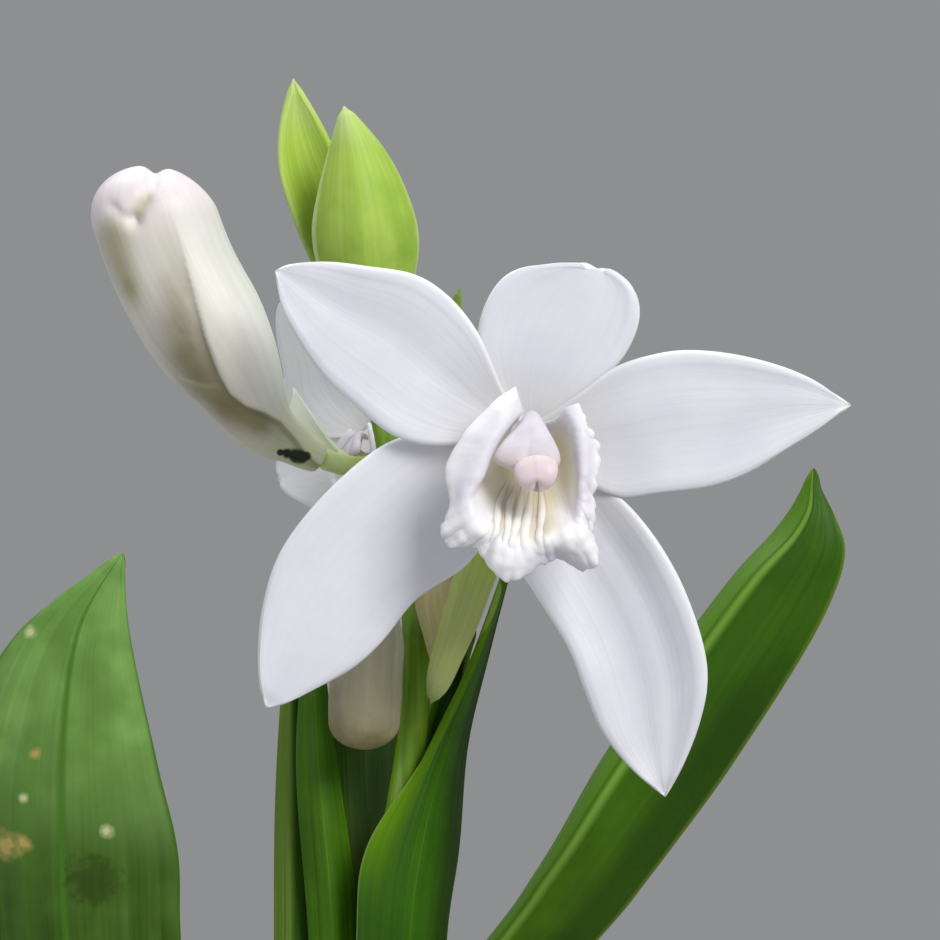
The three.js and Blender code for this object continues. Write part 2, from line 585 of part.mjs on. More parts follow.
// The lip from its left lobe round the front to its right lobe. Each station is the rim, the crease
// behind the frill and the throat, each as [x, z, f].
const lipStations = [
  [[-1.4, 3.8, 6.0], [-0.9, 1.8, 6.0], [-1.9, 1.3, 2.9]],
  [[-3.6, 2.2, 7.0], [-2.1, 0.6, 7.3], [-2.4, 0.5, 2.9]],
  [[-6.1, -0.6, 7.6], [-3.4, -1.2, 8.2], [-2.6, -0.4, 2.9]],
  [[-7.6, -3.9, 7.8], [-4.6, -4.0, 8.8], [-2.4, -1.2, 2.9]],
  [[-7.0, -6.7, 8.2], [-5.6, -6.0, 9.2], [-2.0, -1.9, 2.9]],
  [[-8.0, -9.0, 8.6], [-5.2, -7.6, 9.6], [-1.6, -2.3, 2.9]],
  [[-7.2, -10.4, 8.6], [-4.6, -8.6, 9.9], [-1.2, -2.6, 2.9]],
  [[-5.0, -10.2, 8.8], [-3.6, -9.2, 10.1], [-0.8, -2.8, 2.9]],
  [[-3.6, -12.0, 9.0], [-2.6, -9.6, 10.3], [-0.4, -2.9, 2.9]],
  [[-1.9, -13.2, 9.0], [-1.4, -9.8, 10.4], [0, -3.0, 2.9]],
  [[0.9, -12.0, 9.0], [0.4, -10.2, 10.4], [0.4, -2.9, 2.9]],
  [[2.8, -11.7, 9.0], [1.8, -10.0, 10.2], [0.9, -2.8, 2.9]],
  [[4.9, -12.6, 8.6], [2.9, -9.3, 9.9], [1.3, -2.5, 2.9]],
  [[5.4, -11.1, 8.6], [3.8, -8.8, 9.6], [1.7, -2.2, 2.9]],
  [[4.8, -9.4, 8.4], [4.3, -8.0, 9.2], [2.0, -1.8, 2.9]],
  [[5.5, -6.7, 8.0], [4.5, -5.4, 8.8], [2.4, -1.1, 2.9]],
  [[5.8, -4.0, 7.8], [4.4, -2.5, 8.4], [2.6, -0.4, 2.9]],
  [[5.8, -1.8, 7.5], [4.2, -1.0, 8.0], [2.6, 0.1, 2.9]],
  [[5.1, 0.1, 7.1], [3.9, 0.3, 7.4], [2.5, 0.6, 2.9]],
  [[4.3, 2.2, 6.2], [3.6, 1.9, 6.4], [2.3, 1.3, 2.9]],
];
const frill = { waves: 14, forward: 0.35, outward: 0.3 };
const keels = { count: 5, spread: 0.16, from: 0.3, to: 0.72, height: 0.5, radius: 0.42 };

// margin is the share of the rolled and frilled margin: 1 for a full one, and less for a plain lip.
function lipSurface(frame, margin) {
  const swap = ([x, z, f]) => [x, f, z];
  const rails = [0, 1, 2].map((k) => smooth(lipStations.map((station) => swap(station[k]))));
  return (u, v) => {
    const at = THREE.MathUtils.clamp((u + 1) / 2, 0, 1);
    const [rim, crease, throat] = rails.map((rail) => rail.getPoint(at));
    rim.lerp(crease, 1 - margin);
    const belly = throat.clone().lerp(crease, 0.5);
    belly.x *= 1.16;
    belly.z = belly.z * 1.1 - 0.35;
    const point = new THREE.CatmullRomCurve3([throat, belly, crease, rim]).getPoint(v);
    const share = margin * step(0.55, 1, v) * step(0, 0.05, at) * step(0, 0.05, 1 - at);
    const phase = 2 * Math.PI * frill.waves * at;
    const out = new THREE.Vector3(point.x, 0, point.z + 4).normalize();
    point.addScaledVector(out, frill.outward * share * Math.sin(phase));
    point.y += frill.forward * share * Math.sin(phase + 1.4);
    return frame(point.x, point.z, point.y);
  };
}

// A keel is a low wavy ridge that runs from the throat out along the lip's floor.
function keelShape(surface, forward, k) {
  const u = keels.spread * (k / (keels.count - 1) - 0.5) * 2 - 0.02;
  const line = [];
  for (let j = 0; j <= 6; j += 1) {
    const v = keels.from + (keels.to - keels.from) * (j / 6);
    const lift = keels.height * (0.6 + 0.5 * (j % 2));
    line.push(surface(u, v).addScaledVector(forward, lift).toArray());
  }
  const section = (angle, t) => keels.radius * (0.7 + 0.3 * Math.sin(Math.PI * t));
  return sweep(smooth(line), section, { sides: 6, steps: 8, up: [1, 0, 0] });
}

function buildLip(frame) {
  const surface = lipSurface(frame, 1);
  const forward = frame(0, 0, 1).sub(frame(0, 0, 0));
  const parts = [sheet(surface, 52, 6, lipThickness)];
  for (let k = 0; k < keels.count; k += 1) parts.push(keelShape(surface, forward, k));
  place('lip', fuse(...parts), finish.lip);
}

// The column arches forward and down over the throat. It is broad and thin, widest near its end.
const columnLine = [[0, 0.5, 2.7], [0.1, 0.9, 4.6], [0.05, -0.1, 7], [-0.25, -2.1, 9], [-0.45, -3.7, 9.9]];
const columnWidth = (t) => THREE.MathUtils.lerp(1.0, 2.7, step(0.1, 0.85, t)) * (1 - 0.25 * step(0.85, 1, t));
const columnDepth = (t) => THREE.MathUtils.lerp(0.75, 0.9, t);

function columnShape(frame, scale, grow) {
  const line = smooth(columnLine.map(([x, z, f]) => frame(x, z, f).toArray()));
  const end = line.getPointAt(1).addScaledVector(line.getTangentAt(1), grow);
  const grown = smooth([...line.points.map((point) => point.toArray()), ...(grow ? [end.toArray()] : [])]);
  const section = (angle, t) => {
    const wide = scale * columnWidth(t) + grow;
    const deep = scale * columnDepth(t) + grow;
    return (wide * deep) / Math.hypot(deep * Math.cos(angle), wide * Math.sin(angle));
  };
  const back = frame(0, 1, 0.6).sub(frame(0, 0, 0)).toArray();
  return sweep(grown, section, { sides: 12, steps: 9, up: back });
}

function buildCap(frame) {
  const path = [[-0.3, -2.1, 10.3], [-0.2, -3.4, 11.0], [-0.3, -4.9, 11.0], [-0.6, -5.5, 10.6]];
  const line = smooth(path.map(([x, z, f]) => frame(x, z, f).toArray()));
  const section = (angle, t) => {
    const lobes = 1 - 0.14 * Math.abs(Math.cos(angle + Math.PI / 2)) ** 8;
    return Math.max(0.15, 1.75 * lobes * Math.sin(Math.PI * (0.12 + 0.86 * t)) ** 0.5);
  };
  const cap = sweep(line, section, { sides: 16, steps: 10, flat: 0.62, up: [0, 1, 0.1] });
  place('anther_cap', cut(cap, columnShape(frame, 1, gap)), finish.cap);
}

function buildOvary(name, stalk, width) {
  const { line, start } = pastStalk(stalk);
  const section = (angle, t) => width * (0.8 + 0.35 * Math.sin(Math.PI * (0.2 + 0.6 * t)))
    * (1 - 0.06 * Math.cos(3 * angle));
  place(name, sweep(line, section, { from: start, sides: 12, steps: 10, up: [0.3, 0.2, 1] }), finish.stem);
}

function buildFlowers() {
  const front = flowerFrame(frontFlower);
  for (const [name, form] of Object.entries(frontTepals)) {
    place(name, sheet(tepalSurface(front, form), 6, 16, tepalThickness), finish.petal);
  }
  buildLip(front);
  place('column', columnShape(front, 1, 0), finish.column);
  buildCap(front);
  buildOvary('ovary', stalks.front, 1.25);

  const back = flowerFrame(backFlower);
  for (const [name, form] of Object.entries(backTepals)) {
    place(name, sheet(tepalSurface(back, form), 4, 10, tepalThickness), finish.petal);
  }
  const lipFrame = flowerFrame({ ...backFlower, scale: backLip.scale });
  const seat = (x, z, f) => lipFrame(x, z, f + backLip.forward);
  place('back_lip', sheet(lipSurface(seat, backLip.margin), 28, 4, lipThickness), finish.lip);
  place('back_column', columnShape(seat, backLip.columnScale * backLip.scale, 0), finish.column);
  buildOvary('back_ovary', stalks.back, 1.05);
}

buildPot();
buildSoil();
place('corm', cormShape(0), finish.corm);
buildLeaves();
buildStem();
buildBuds();
buildBracts();
buildFlowers();

export default plant;
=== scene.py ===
import bisect
import math
import random

import bpy
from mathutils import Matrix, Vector, noise


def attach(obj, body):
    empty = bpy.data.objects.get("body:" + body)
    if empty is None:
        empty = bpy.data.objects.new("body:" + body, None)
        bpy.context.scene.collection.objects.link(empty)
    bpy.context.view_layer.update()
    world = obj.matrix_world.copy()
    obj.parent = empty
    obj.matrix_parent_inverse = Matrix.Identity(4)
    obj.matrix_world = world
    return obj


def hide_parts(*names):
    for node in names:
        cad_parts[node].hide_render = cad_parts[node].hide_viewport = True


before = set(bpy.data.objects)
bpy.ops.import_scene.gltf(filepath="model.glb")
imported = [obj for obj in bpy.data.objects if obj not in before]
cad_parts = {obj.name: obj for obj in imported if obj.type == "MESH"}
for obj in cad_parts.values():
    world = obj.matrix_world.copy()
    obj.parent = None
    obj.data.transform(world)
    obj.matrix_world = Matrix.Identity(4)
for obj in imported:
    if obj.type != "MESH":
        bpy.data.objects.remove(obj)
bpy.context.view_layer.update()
mm = 0.001
print("frame loaded")

# Camera, light and floor. Places are in millimetres, like every shape below.
studio = {
    "eye": (8.1, -514.0, 263.0), "focal": 212.8, "sensor": 36.0,
    "air": (0.27, 0.275, 0.285, 1.0), "airStrength": 1.0,
    "floorSide": 4900.0, "floorTone": (0.42, 0.42, 0.43, 1.0),
    "aim": (8.0, 0.0, 262.0),
    "lamps": {
        "keyLamp": {"place": (430, -600, 760), "side": 420, "power": 6.7, "tone": (1.0, 0.985, 0.96)},
        "skyLamp": {"place": (-160, 260, 900), "side": 520, "power": 3.6, "tone": (0.95, 0.97, 1.0)},
        "fillLamp": {"place": (-720, -560, 330), "side": 600, "power": 1.4, "tone": (0.96, 0.97, 1.0)},
    },
}


def clearSelection():
    if bpy.context.mode != "OBJECT":
        bpy.ops.object.mode_set(mode="OBJECT")
    bpy.ops.object.select_all(action="DESELECT")


def addNode(tree, kind, values=None, **settings):
    made = tree.nodes.new("ShaderNode" + kind)
    for key, value in settings.items():
        setattr(made, key, value)
    for key, value in (values or {}).items():
        if isinstance(value, bpy.types.NodeSocket):
            tree.links.new(value, made.inputs[key])
        else:
            made.inputs[key].default_value = value
    return made


def compute(tree, operation, *values):
    return addNode(tree, "Math", dict(enumerate(values)), operation=operation).outputs[0]


def times(tree, first, second):
    return compute(tree, "MULTIPLY", first, second)


def split(tree, vector):
    return addNode(tree, "SeparateXYZ", {"Vector": vector}).outputs


def stretch(tree, vector, scale):
    return addNode(tree, "VectorMath", {0: vector, 1: scale}, operation="MULTIPLY").outputs[0]


def ramp(tree, value, low, high, start=0.0, end=1.0):
    span = {"Value": value, "From Min": low, "From Max": high, "To Min": start, "To Max": end}
    return addNode(tree, "MapRange", span, interpolation_type="SMOOTHSTEP").outputs["Result"]


def mixTones(tree, share, first, second):
    return addNode(tree, "Mix", {0: share, 6: first, 7: second}, data_type="RGBA").outputs[2]


def cover(tree, colour, shade, mask, share=None):  # lays a shade over the colour, as strongly as the mask
    amount = mask if share is None else times(tree, mask, share)
    return mixTones(tree, amount, colour, shade)


def tone(red, green, blue):  # a screen colour from 0 to 255, made linear
    shares = [c / 255 for c in (red, green, blue)]
    return (*(c / 12.92 if c < 0.0431 else ((c + 0.055) / 1.055) ** 2.4 for c in shares), 1.0)


def tissue(rough, share, spread, depth, shine, sheen=0.0):  # a living finish; depth is in millimetres
    return {"Roughness": rough, "Subsurface Weight": share, "Subsurface Radius": spread,
            "Subsurface Scale": depth * mm, "Specular IOR Level": shine, "Sheen Weight": sheen}


def newMaterial(name, finish):
    material = bpy.data.materials.new(name)
    material.use_nodes = True
    shader = material.node_tree.nodes["Principled BSDF"]
    for key, value in finish.items():
        shader.inputs[key].default_value = value
    return material, material.node_tree, shader


def setUpStudio():
    bpy.ops.object.camera_add(location=Vector(studio["eye"]) * mm, rotation=(math.pi / 2, 0, 0))
    camera = bpy.context.object
    camera.name = "viewCamera"
    camera.data.lens, camera.data.sensor_width = studio["focal"], studio["sensor"]
    camera.data.clip_start = 0.01
    bpy.context.scene.camera = camera
    for name, lamp in studio["lamps"].items():
        place = Vector(lamp["place"]) * mm
        turn = (Vector(studio["aim"]) * mm - place).to_track_quat("-Z", "Y").to_euler()
        bpy.ops.object.light_add(type="AREA", location=place, rotation=turn)
        light = bpy.context.object
        light.name = name
        light.data.size, light.data.energy, light.data.color = lamp["side"] * mm, lamp["power"], lamp["tone"]
    world = bpy.data.worlds.new("studioAir")
    world.use_nodes = True
    air = world.node_tree.nodes["Background"]
    air.inputs["Color"].default_value = studio["air"]
    air.inputs["Strength"].default_value = studio["airStrength"]
    bpy.context.scene.world = world
    bpy.context.scene.view_settings.view_transform = "Standard"

    clearSelection()
    bpy.ops.mesh.primitive_plane_add(size=studio["floorSide"] * mm, location=(0, 0, 0))
    floor = bpy.context.object
    floor.name = "studioFloor"
    material, tree, shader = newMaterial("floorPaper", {"Roughness": 0.85})
    place = addNode(tree, "TexCoord").outputs["Object"]
    cloud = addNode(tree, "TexNoise", {"Vector": place, "Scale": 3.0, "Detail": 3.0}).outputs["Fac"]
    lighter = tuple(1.06 * c for c in studio["floorTone"][:3]) + (1.0,)
    tree.links.new(mixTones(tree, cloud, studio["floorTone"], lighter), shader.inputs["Base Color"])
    floor.data.materials.append(material)


setUpStudio()
print("studio set up")


# Shader groups that several finishes share.
def newGroup(name, inputs, outputs):
    tree = bpy.data.node_groups.new(name, "ShaderNodeTree")
    for title, kind, value in inputs:
        socket = tree.interface.new_socket(title, in_out="INPUT", socket_type="NodeSocket" + kind)
        if value is not None:
            socket.default_value = value
    for title in outputs:
        tree.interface.new_socket(title, in_out="OUTPUT", socket_type="NodeSocketFloat")
    source, sink = tree.nodes.new("NodeGroupInput"), tree.nodes.new("NodeGroupOutput")
    return tree, source.outputs, sink.inputs


def useGroup(tree, group, *values):  # takes its values in the order of the group's inputs
    return addNode(tree, "Group", dict(enumerate(values)), node_tree=group).outputs


def makeVeinGroup():
    # Lines that run from foot to tip. Lay holds the place across, from -1 to 1, and along, from 0 to 1.
    inputs = [("Lay", "Vector", None), ("Count", "Float", 9.0), ("Width", "Float", 0.3),
              ("Wander", "Float", 0.03)]
    tree, given, made = newGroup("tissueVeins", inputs, ["Line", "Band"])
    parts = split(tree, given["Lay"])
    flow = addNode(tree, "CombineXYZ", {"X": parts["X"], "Y": times(tree, parts["Y"], 3.0)})
    drift = addNode(tree, "TexNoise", {"Vector": flow.outputs[0], "Scale": 1.6, "Detail": 2.0}).outputs["Fac"]
    shift = times(tree, compute(tree, "SUBTRACT", drift, 0.5), given["Wander"])
    across = times(tree, compute(tree, "ADD", parts["X"], shift), given["Count"])
    saw = compute(tree, "ABSOLUTE", compute(tree, "SUBTRACT", compute(tree, "FRACT", across), 0.5))
    tree.links.new(ramp(tree, saw, 0.0, given["Width"], 1.0, 0.0), made["Line"])
    stripe = addNode(tree, "CombineXYZ", {"X": across, "Y": times(tree, parts["Y"], 1.2)})
    band = addNode(tree, "TexNoise", {"Vector": stripe.outputs[0], "Scale": 0.9,
                                      "Detail": 3.0}).outputs["Fac"]
    tree.links.new(ramp(tree, band, 0.3, 0.7), made["Band"])
    return tree


def makeBorderGroup():
    # Masks of a blade's two edges, its rib, its foot and its tip.
    inputs = [("Lay", "Vector", None), ("Edge", "Float", 0.1), ("Rib", "Float", 0.1), ("Foot", "Float", 0.2),
              ("Tip", "Float", 0.1)]
    tree, given, made = newGroup("bladeBorder", inputs, ["Edge", "Rib", "Foot", "Tip"])
    parts = split(tree, given["Lay"])
    across = compute(tree, "ABSOLUTE", parts["X"])
    tree.links.new(ramp(tree, across, compute(tree, "SUBTRACT", 1.0, given["Edge"]), 1.0), made["Edge"])
    tree.links.new(ramp(tree, across, 0.0, given["Rib"], 1.0, 0.0), made["Rib"])
    tree.links.new(ramp(tree, parts["Y"], 0.0, given["Foot"], 1.0, 0.0), made["Foot"])
    tree.links.new(ramp(tree, parts["Y"], compute(tree, "SUBTRACT", 1.0, given["Tip"]), 1.0), made["Tip"])
    return tree


def makePatchGroup():
    # Soft cloudy patches of a size in millimetres.
    inputs = [("Place", "Vector", None), ("Size", "Float", 6.0), ("Low", "Float", 0.4),
              ("High", "Float", 0.65)]
    tree, given, made = newGroup("softPatches", inputs, ["Mask"])
    scale = compute(tree, "DIVIDE", 1000.0, given["Size"])
    cloud = addNode(tree, "TexNoise", {"Vector": given["Place"], "Scale": scale, "Detail": 3.0,
                                       "Roughness": 0.55})
    tree.links.new(ramp(tree, cloud.outputs["Fac"], given["Low"], given["High"]), made["Mask"])
    return tree


def makeCellGroup():
    # The fine cell grain of living tissue, as a height.
    inputs = [("Place", "Vector", None), ("Size", "Float", 0.2)]
    tree, given, made = newGroup("cellGrain", inputs, ["Height"])
    scale = compute(tree, "DIVIDE", 1000.0, given["Size"])
    cells = addNode(tree, "TexVoronoi", {"Vector": given["Place"], "Scale": scale}).outputs["Distance"]
    rough = addNode(tree, "TexNoise", {"Vector": given["Place"], "Scale": times(tree, scale, 0.3)})
    tree.links.new(compute(tree, "ADD", cells, rough.outputs["Fac"]), made["Height"])
    return tree


def makeMarkGroup():
    # One round mark at a centre, with a torn edge. Radius is in millimetres.
    inputs = [("Place", "Vector", None), ("Centre", "Vector", (0, 0, 0)), ("Radius", "Float", 1.0),
              ("Torn", "Float", 0.5)]
    tree, given, made = newGroup("leafMark", inputs, ["Core", "Halo"])
    ends = {0: given["Place"], 1: given["Centre"]}
    away = addNode(tree, "VectorMath", ends, operation="DISTANCE").outputs["Value"]
    rough = addNode(tree, "TexNoise", {"Vector": given["Place"], "Scale": 1100.0,
                                       "Detail": 2.0}).outputs["Fac"]
    torn = times(tree, compute(tree, "SUBTRACT", rough, 0.5), given["Torn"])
    share = compute(tree, "ADD", compute(tree, "DIVIDE", times(tree, away, 1000.0), given["Radius"]), torn)
    tree.links.new(ramp(tree, share, 0.55, 1.0, 1.0, 0.0), made["Core"])
    tree.links.new(ramp(tree, share, 0.9, 2.2, 1.0, 0.0), made["Halo"])
    return tree


veinGroup, borderGroup, patchGroup = makeVeinGroup(), makeBorderGroup(), makePatchGroup()
cellGroup, markGroup = makeCellGroup(), makeMarkGroup()


def veinsOf(tree, lay, count, width, wander):
    return useGroup(tree, veinGroup, lay, count, width, wander)


def patches(tree, place, size, low, high):
    return useGroup(tree, patchGroup, place, size, low, high)[0]


def grain(tree, place, size):
    return useGroup(tree, cellGroup, place, size)[0]


def markAt(tree, place, centre, radius, torn):
    return useGroup(tree, markGroup, place, tuple(c * mm for c in centre), radius, torn)


def attribute(tree, name):
    return addNode(tree, "Attribute", attribute_name=name).outputs["Vector"]


def places(tree):  # the place in the model, and the place on the blade or stalk
    return addNode(tree, "TexCoord").outputs["Object"], attribute(tree, "lay")


def coats(tree, tones, ground, *layers):
    # Lays tones over the ground tone. A layer is a tone's name, its mask and, if it isn't whole, its share.
    colour = tones[ground]
    for key, *strength in layers:
        colour = cover(tree, colour, tones[key], *strength)
    return colour


def dress(tree, shader, colour, cloud, rough, *heights):
    # Joins a finish: its colour, its roughness where the cloud is 0 and 1, and heights that stack, each as
    # its socket, strength and depth in millimetres.
    tree.links.new(colour, shader.inputs["Base Color"])
    if rough:
        tree.links.new(ramp(tree, cloud, 0.0, 1.0, *rough), shader.inputs["Roughness"])
    values = {}
    for height, strength, depth in heights:
        values = {"Height": height, "Strength": strength, "Distance": depth * mm, **values}
        values = {"Normal": addNode(tree, "Bump", values).outputs["Normal"]}
    tree.links.new(values["Normal"], shader.inputs["Normal"])


# Lines and surfaces. All lengths are in millimetres until a mesh is placed.
bladeThickness = {"tepal": 0.8, "lip": 0.6, "bract": 0.7, "leaf": 0.7}


def smoothstep(low, high, value):
    x = min(max((value - low) / (high - low), 0.0), 1.0)
    return x * x * (3 - 2 * x)


def blendValue(first, second, share):
    return first + (second - first) * share


def splineThrough(points):  # a centripetal spline, read by its knots from 0 to 1
    knots = [Vector(p) for p in points]
    knots = [2 * knots[0] - knots[1], *knots, 2 * knots[-1] - knots[-2]]
    spans = len(knots) - 3

    def at(share):
        place = min(max(share, 0.0), 1.0) * spans
        k = min(int(place), spans - 1)
        s = place - k
        a, b, c, d = knots[k:k + 4]
        ta, tb, tc = (max((q - p).length ** 0.5, 1e-4) for p, q in ((a, b), (b, c), (c, d)))
        leave = ((b - a) / ta - (c - a) / (ta + tb) + (c - b) / tb) * tb
        arrive = ((c - b) / tb - (d - b) / (tb + tc) + (d - c) / tc) * tb
        bend = 3 * (c - b) - 2 * leave - arrive
        return b + leave * s + bend * s * s + (2 * (b - c) + leave + arrive) * s ** 3
    return at


def lineThrough(points, steps=200):  # the same spline, read by its share of the length
    spline = splineThrough(points)
    samples = [spline(i / steps) for i in range(steps + 1)]
    travelled = [0.0]
    for p, q in zip(samples, samples[1:]):
        travelled.append(travelled[-1] + (q - p).length)

    def at(share, delta=0.0):
        goal = min(max(share, 0.0), 1.0) * travelled[-1]
        i = min(bisect.bisect_right(travelled, goal) - 1, steps - 1)
        part = (goal - travelled[i]) / max(travelled[i + 1] - travelled[i], 1e-9)
        return spline(min(max((i + part) / steps + delta, 0.0), 1.0))

    def tangent(share):
        return (at(share, 0.0005) - at(share, -0.0005)).normalized()
    return at, tangent, travelled[-1]


def byRow(rails, end, gather=1.0):  # reads the rails once for each row
    rows = {}

    def at(t):
        key = round(t, 7)
        if key not in rows:
            v = (1 - (1 - t) ** gather) * end
            rows[key] = [rail(v) for rail in rails]
        return rows[key]
    return at


def bladeSurface(form):
    # Spanned by an edge, the rib and the other edge. fold is 0 for a channel and 1 for a V.
    rails = [lineThrough(form[key])[0] for key in ("left", "rib", "right")]
    rows = byRow(rails, form.get("end", 0.99), form.get("gather", 1.0))
    fold, wave, ripple = form.get("fold", 0), form.get("wave", 0), form.get("ripple", 0.0)
    pleats, depth = form.get("pleats", (0, 0))

    def at(u, t):
        a, m, b = rows(t)
        v = 1 - (1 - t) ** form.get("gather", 1.0)
        bow = (a + b) / 2 - m
        crease = (u * u + 0.0036) ** 0.5 - 0.06
        point = m + (b - a) / 2 * u + bow * (fold * crease / 0.9418 + (1 - fold) * u * u)
        point.y += wave * u * abs(u) * math.sin(6 * math.pi * v + u) * math.sin(math.pi * v)
        if pleats:
            along = smoothstep(0, 0.3, v) * (1 - smoothstep(0.8, 1, v))
            point.y -= depth * abs(math.sin(0.5 * math.pi * pleats * u)) * along
        if ripple:
            point.y += ripple * abs(u) ** 3 * noise.noise(Vector((3.1 * u, 9 * v, form.get("seed", 1.0))))
        return point
    return at


def joinPieces(parts):
    clearSelection()
    for part in parts:
        part.select_set(True)
    bpy.context.view_layer.objects.active = parts[0]
    bpy.ops.object.join()
    return bpy.context.object


def applyModifier(piece, kind, **settings):
    made = piece.modifiers.new(kind.lower(), kind)
    for key, value in settings.items():
        setattr(made, key, value)
    bpy.ops.object.modifier_apply(modifier=made.name)


def storeLay(piece, name, flat):
    piece.data.attributes.new(name, "FLOAT_VECTOR", "POINT").data.foreach_set("vector", flat)


def makeBlade(surface, across, along, thickness, thin=0.06, rim=0.22, border=0.16, pinch=0.0, extra=None):
    # Thin at the tip and rim at its edges, as shares of the thickness. Stores the place across and along in
    # lay, and extra(u, t) as its third value.
    clearSelection()
    bpy.ops.mesh.primitive_grid_add(x_subdivisions=across, y_subdivisions=along, size=2)
    piece = bpy.context.object
    body = piece.vertex_groups.new(name="body")
    flat = []
    for corner in piece.data.vertices:
        g, t = corner.co.x, min(max((corner.co.y + 1) / 2, 0.0), 1.0)
        u = min(max(g * (1.0 + pinch - pinch * abs(g)), -1.0), 1.0)
        flat += (u, t, extra(u, t) if extra else 0.0)
        corner.co = surface(u, t) * mm
        weight = (1 - max(0.0, 1 - (1 - abs(u)) / border) ** 2) ** 0.5
        body.add([corner.index], max(weight, rim) * (1 - smoothstep(0.94, 1.0, t)), "REPLACE")
    storeLay(piece, "lay", flat)
    piece.data.update()
    applyModifier(piece, "SOLIDIFY", thickness=thickness * mm, offset=0.0, vertex_group="body",
                  thickness_vertex_group=thin)
    bpy.ops.object.shade_smooth()
    return piece


def makeTube(surface, around, along, gather=1.0):
    # A grid rolled round a line: surface(angle, t). Its ends close where the radius goes to nothing, and
    # gather above 1 brings its rings closer together towards the tip.
    clearSelection()
    bpy.ops.mesh.primitive_grid_add(x_subdivisions=around, y_subdivisions=along, size=2)
    piece = bpy.context.object
    lay = piece.data.attributes.new("lay", "FLOAT_VECTOR", "POINT")
    for corner in piece.data.vertices:
        angle, t = math.pi * (corner.co.x + 1), 1 - (1 - min(max((corner.co.y + 1) / 2, 0.0), 1.0)) ** gather
        lay.data[corner.index].vector = (math.cos(angle), t, math.sin(angle))
        corner.co = surface(angle, t) * mm
    piece.data.update()
    bpy.ops.object.mode_set(mode="EDIT")
    bpy.ops.mesh.select_all(action="SELECT")
    bpy.ops.mesh.remove_doubles(threshold=0.004 * mm)
    bpy.ops.mesh.normals_make_consistent(inside=False)
    bpy.ops.object.mode_set(mode="OBJECT")
    bpy.ops.object.shade_smooth()
    return piece


def sweepSurface(line, section, start=0.0, stop=1.0, flat=1.0, up=(0, 1, 0), lobe=None):
    # Rounds off to nothing over the first and last hundredth, so that the tube closes.
    at, tangent, _ = line
    rows = {}

    def surface(angle, t):
        key = round(t, 7)
        if key not in rows:
            share = start + (stop - start) * t
            ahead = tangent(share)
            across = Vector(up).cross(ahead).normalized()
            rows[key] = at(share), ahead, across, ahead.cross(across)
        middle, ahead, across, depth = rows[key]
        radius = section(angle, t)
        point = middle + across * (radius * math.cos(angle)) + depth * (flat * radius * math.sin(angle))
        return point + ahead * lobe(angle, t) if lobe else point
    return surface


def closeEnds(t, foot=0.02, tip=0.02):
    low = max(0.0, 1 - (1 - min(t / foot, 1)) ** 2) ** 0.5 if t < foot else 1.0
    high = max(0.0, 1 - (1 - min((1 - t) / tip, 1)) ** 2) ** 0.5 if t > 1 - tip else 1.0
    return low * high


def settle(piece, name, node, material):
    piece.name = name
    piece.data.name = name
    piece.data.materials.clear()
    piece.data.materials.append(material)
    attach(piece, "root")
    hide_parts(*([node] if isinstance(node, str) else node))
    return piece


def offPath(path, x, z):
    # Distance from a path in the x, z plane, with its sign by side, and the share of the path there.
    best = (1e9, 0.0, 0.0)
    for k, ((xa, za), (xb, zb)) in enumerate(zip(path, path[1:])):
        dx, dz = xb - xa, zb - za
        s = min(max(((x - xa) * dx + (z - za) * dz) / (dx * dx + dz * dz), 0.0), 1.0)
        ex, ez = x - xa - s * dx, z - za - s * dz
        away = math.hypot(ex, ez)
        if away < best[0]:
            best = (away, math.copysign(1.0, dx * ez - dz * ex), (k + s) / (len(path) - 1))
    return best


def seen(px, py, y=-14.0):  # the x, z place that shows at a point of the 940 by 940 view, at a depth
    scale = studio["sensor"] / studio["focal"] * (y - studio["eye"][1]) / 940
    return studio["eye"][0] + (px - 470) * scale, studio["eye"][2] + (470 - py) * scale


# The tepals.
def flowerFrame(seat):
    # Gives places from a flower's own x, to the right, z, up, and f, forward out of its face.
    forward = Vector((math.sin(seat["turn"]), -math.cos(seat["turn"]), 0))
    right = Vector((0, 0, 1)).cross(forward)
    up = forward.cross(right)
    cos, sin, scale = math.cos(seat["roll"]), math.sin(seat["roll"]), seat["scale"]
    centre = Vector(seat["centre"])

    def at(x, z, f):
        return centre + scale * (right * (cos * x - sin * z) + up * (sin * x + cos * z) + forward * f)
    return at


frontSeat = {"centre": (13.5, -14, 266.6), "turn": 0, "roll": 0, "scale": 1}
backSeat = {"centre": (0, 13.5, 265.9), "turn": -0.6, "roll": 0.3, "scale": 0.7}

tepalTones = {
    # The claw tone is the claw's own grey-green tint with painted shade, darker at the tepal bases round the
    # lip.
    "face": tone(229, 230, 238), "cloud": tone(214, 215, 225), "clawTintAndShade": tone(209, 208, 202),
    # The rim tone is a paler margin with a painted rim highlight along the edges and tip.
    "rim": tone(248, 248, 252), "vein": tone(216, 218, 228), "veinCount": 5.5, "veinWidth": 0.3,
    "cell": 0.22, "finish": tissue(0.5, 0.22, (1.0, 0.9, 0.85), 1.1, 0.35, 0.06),
}


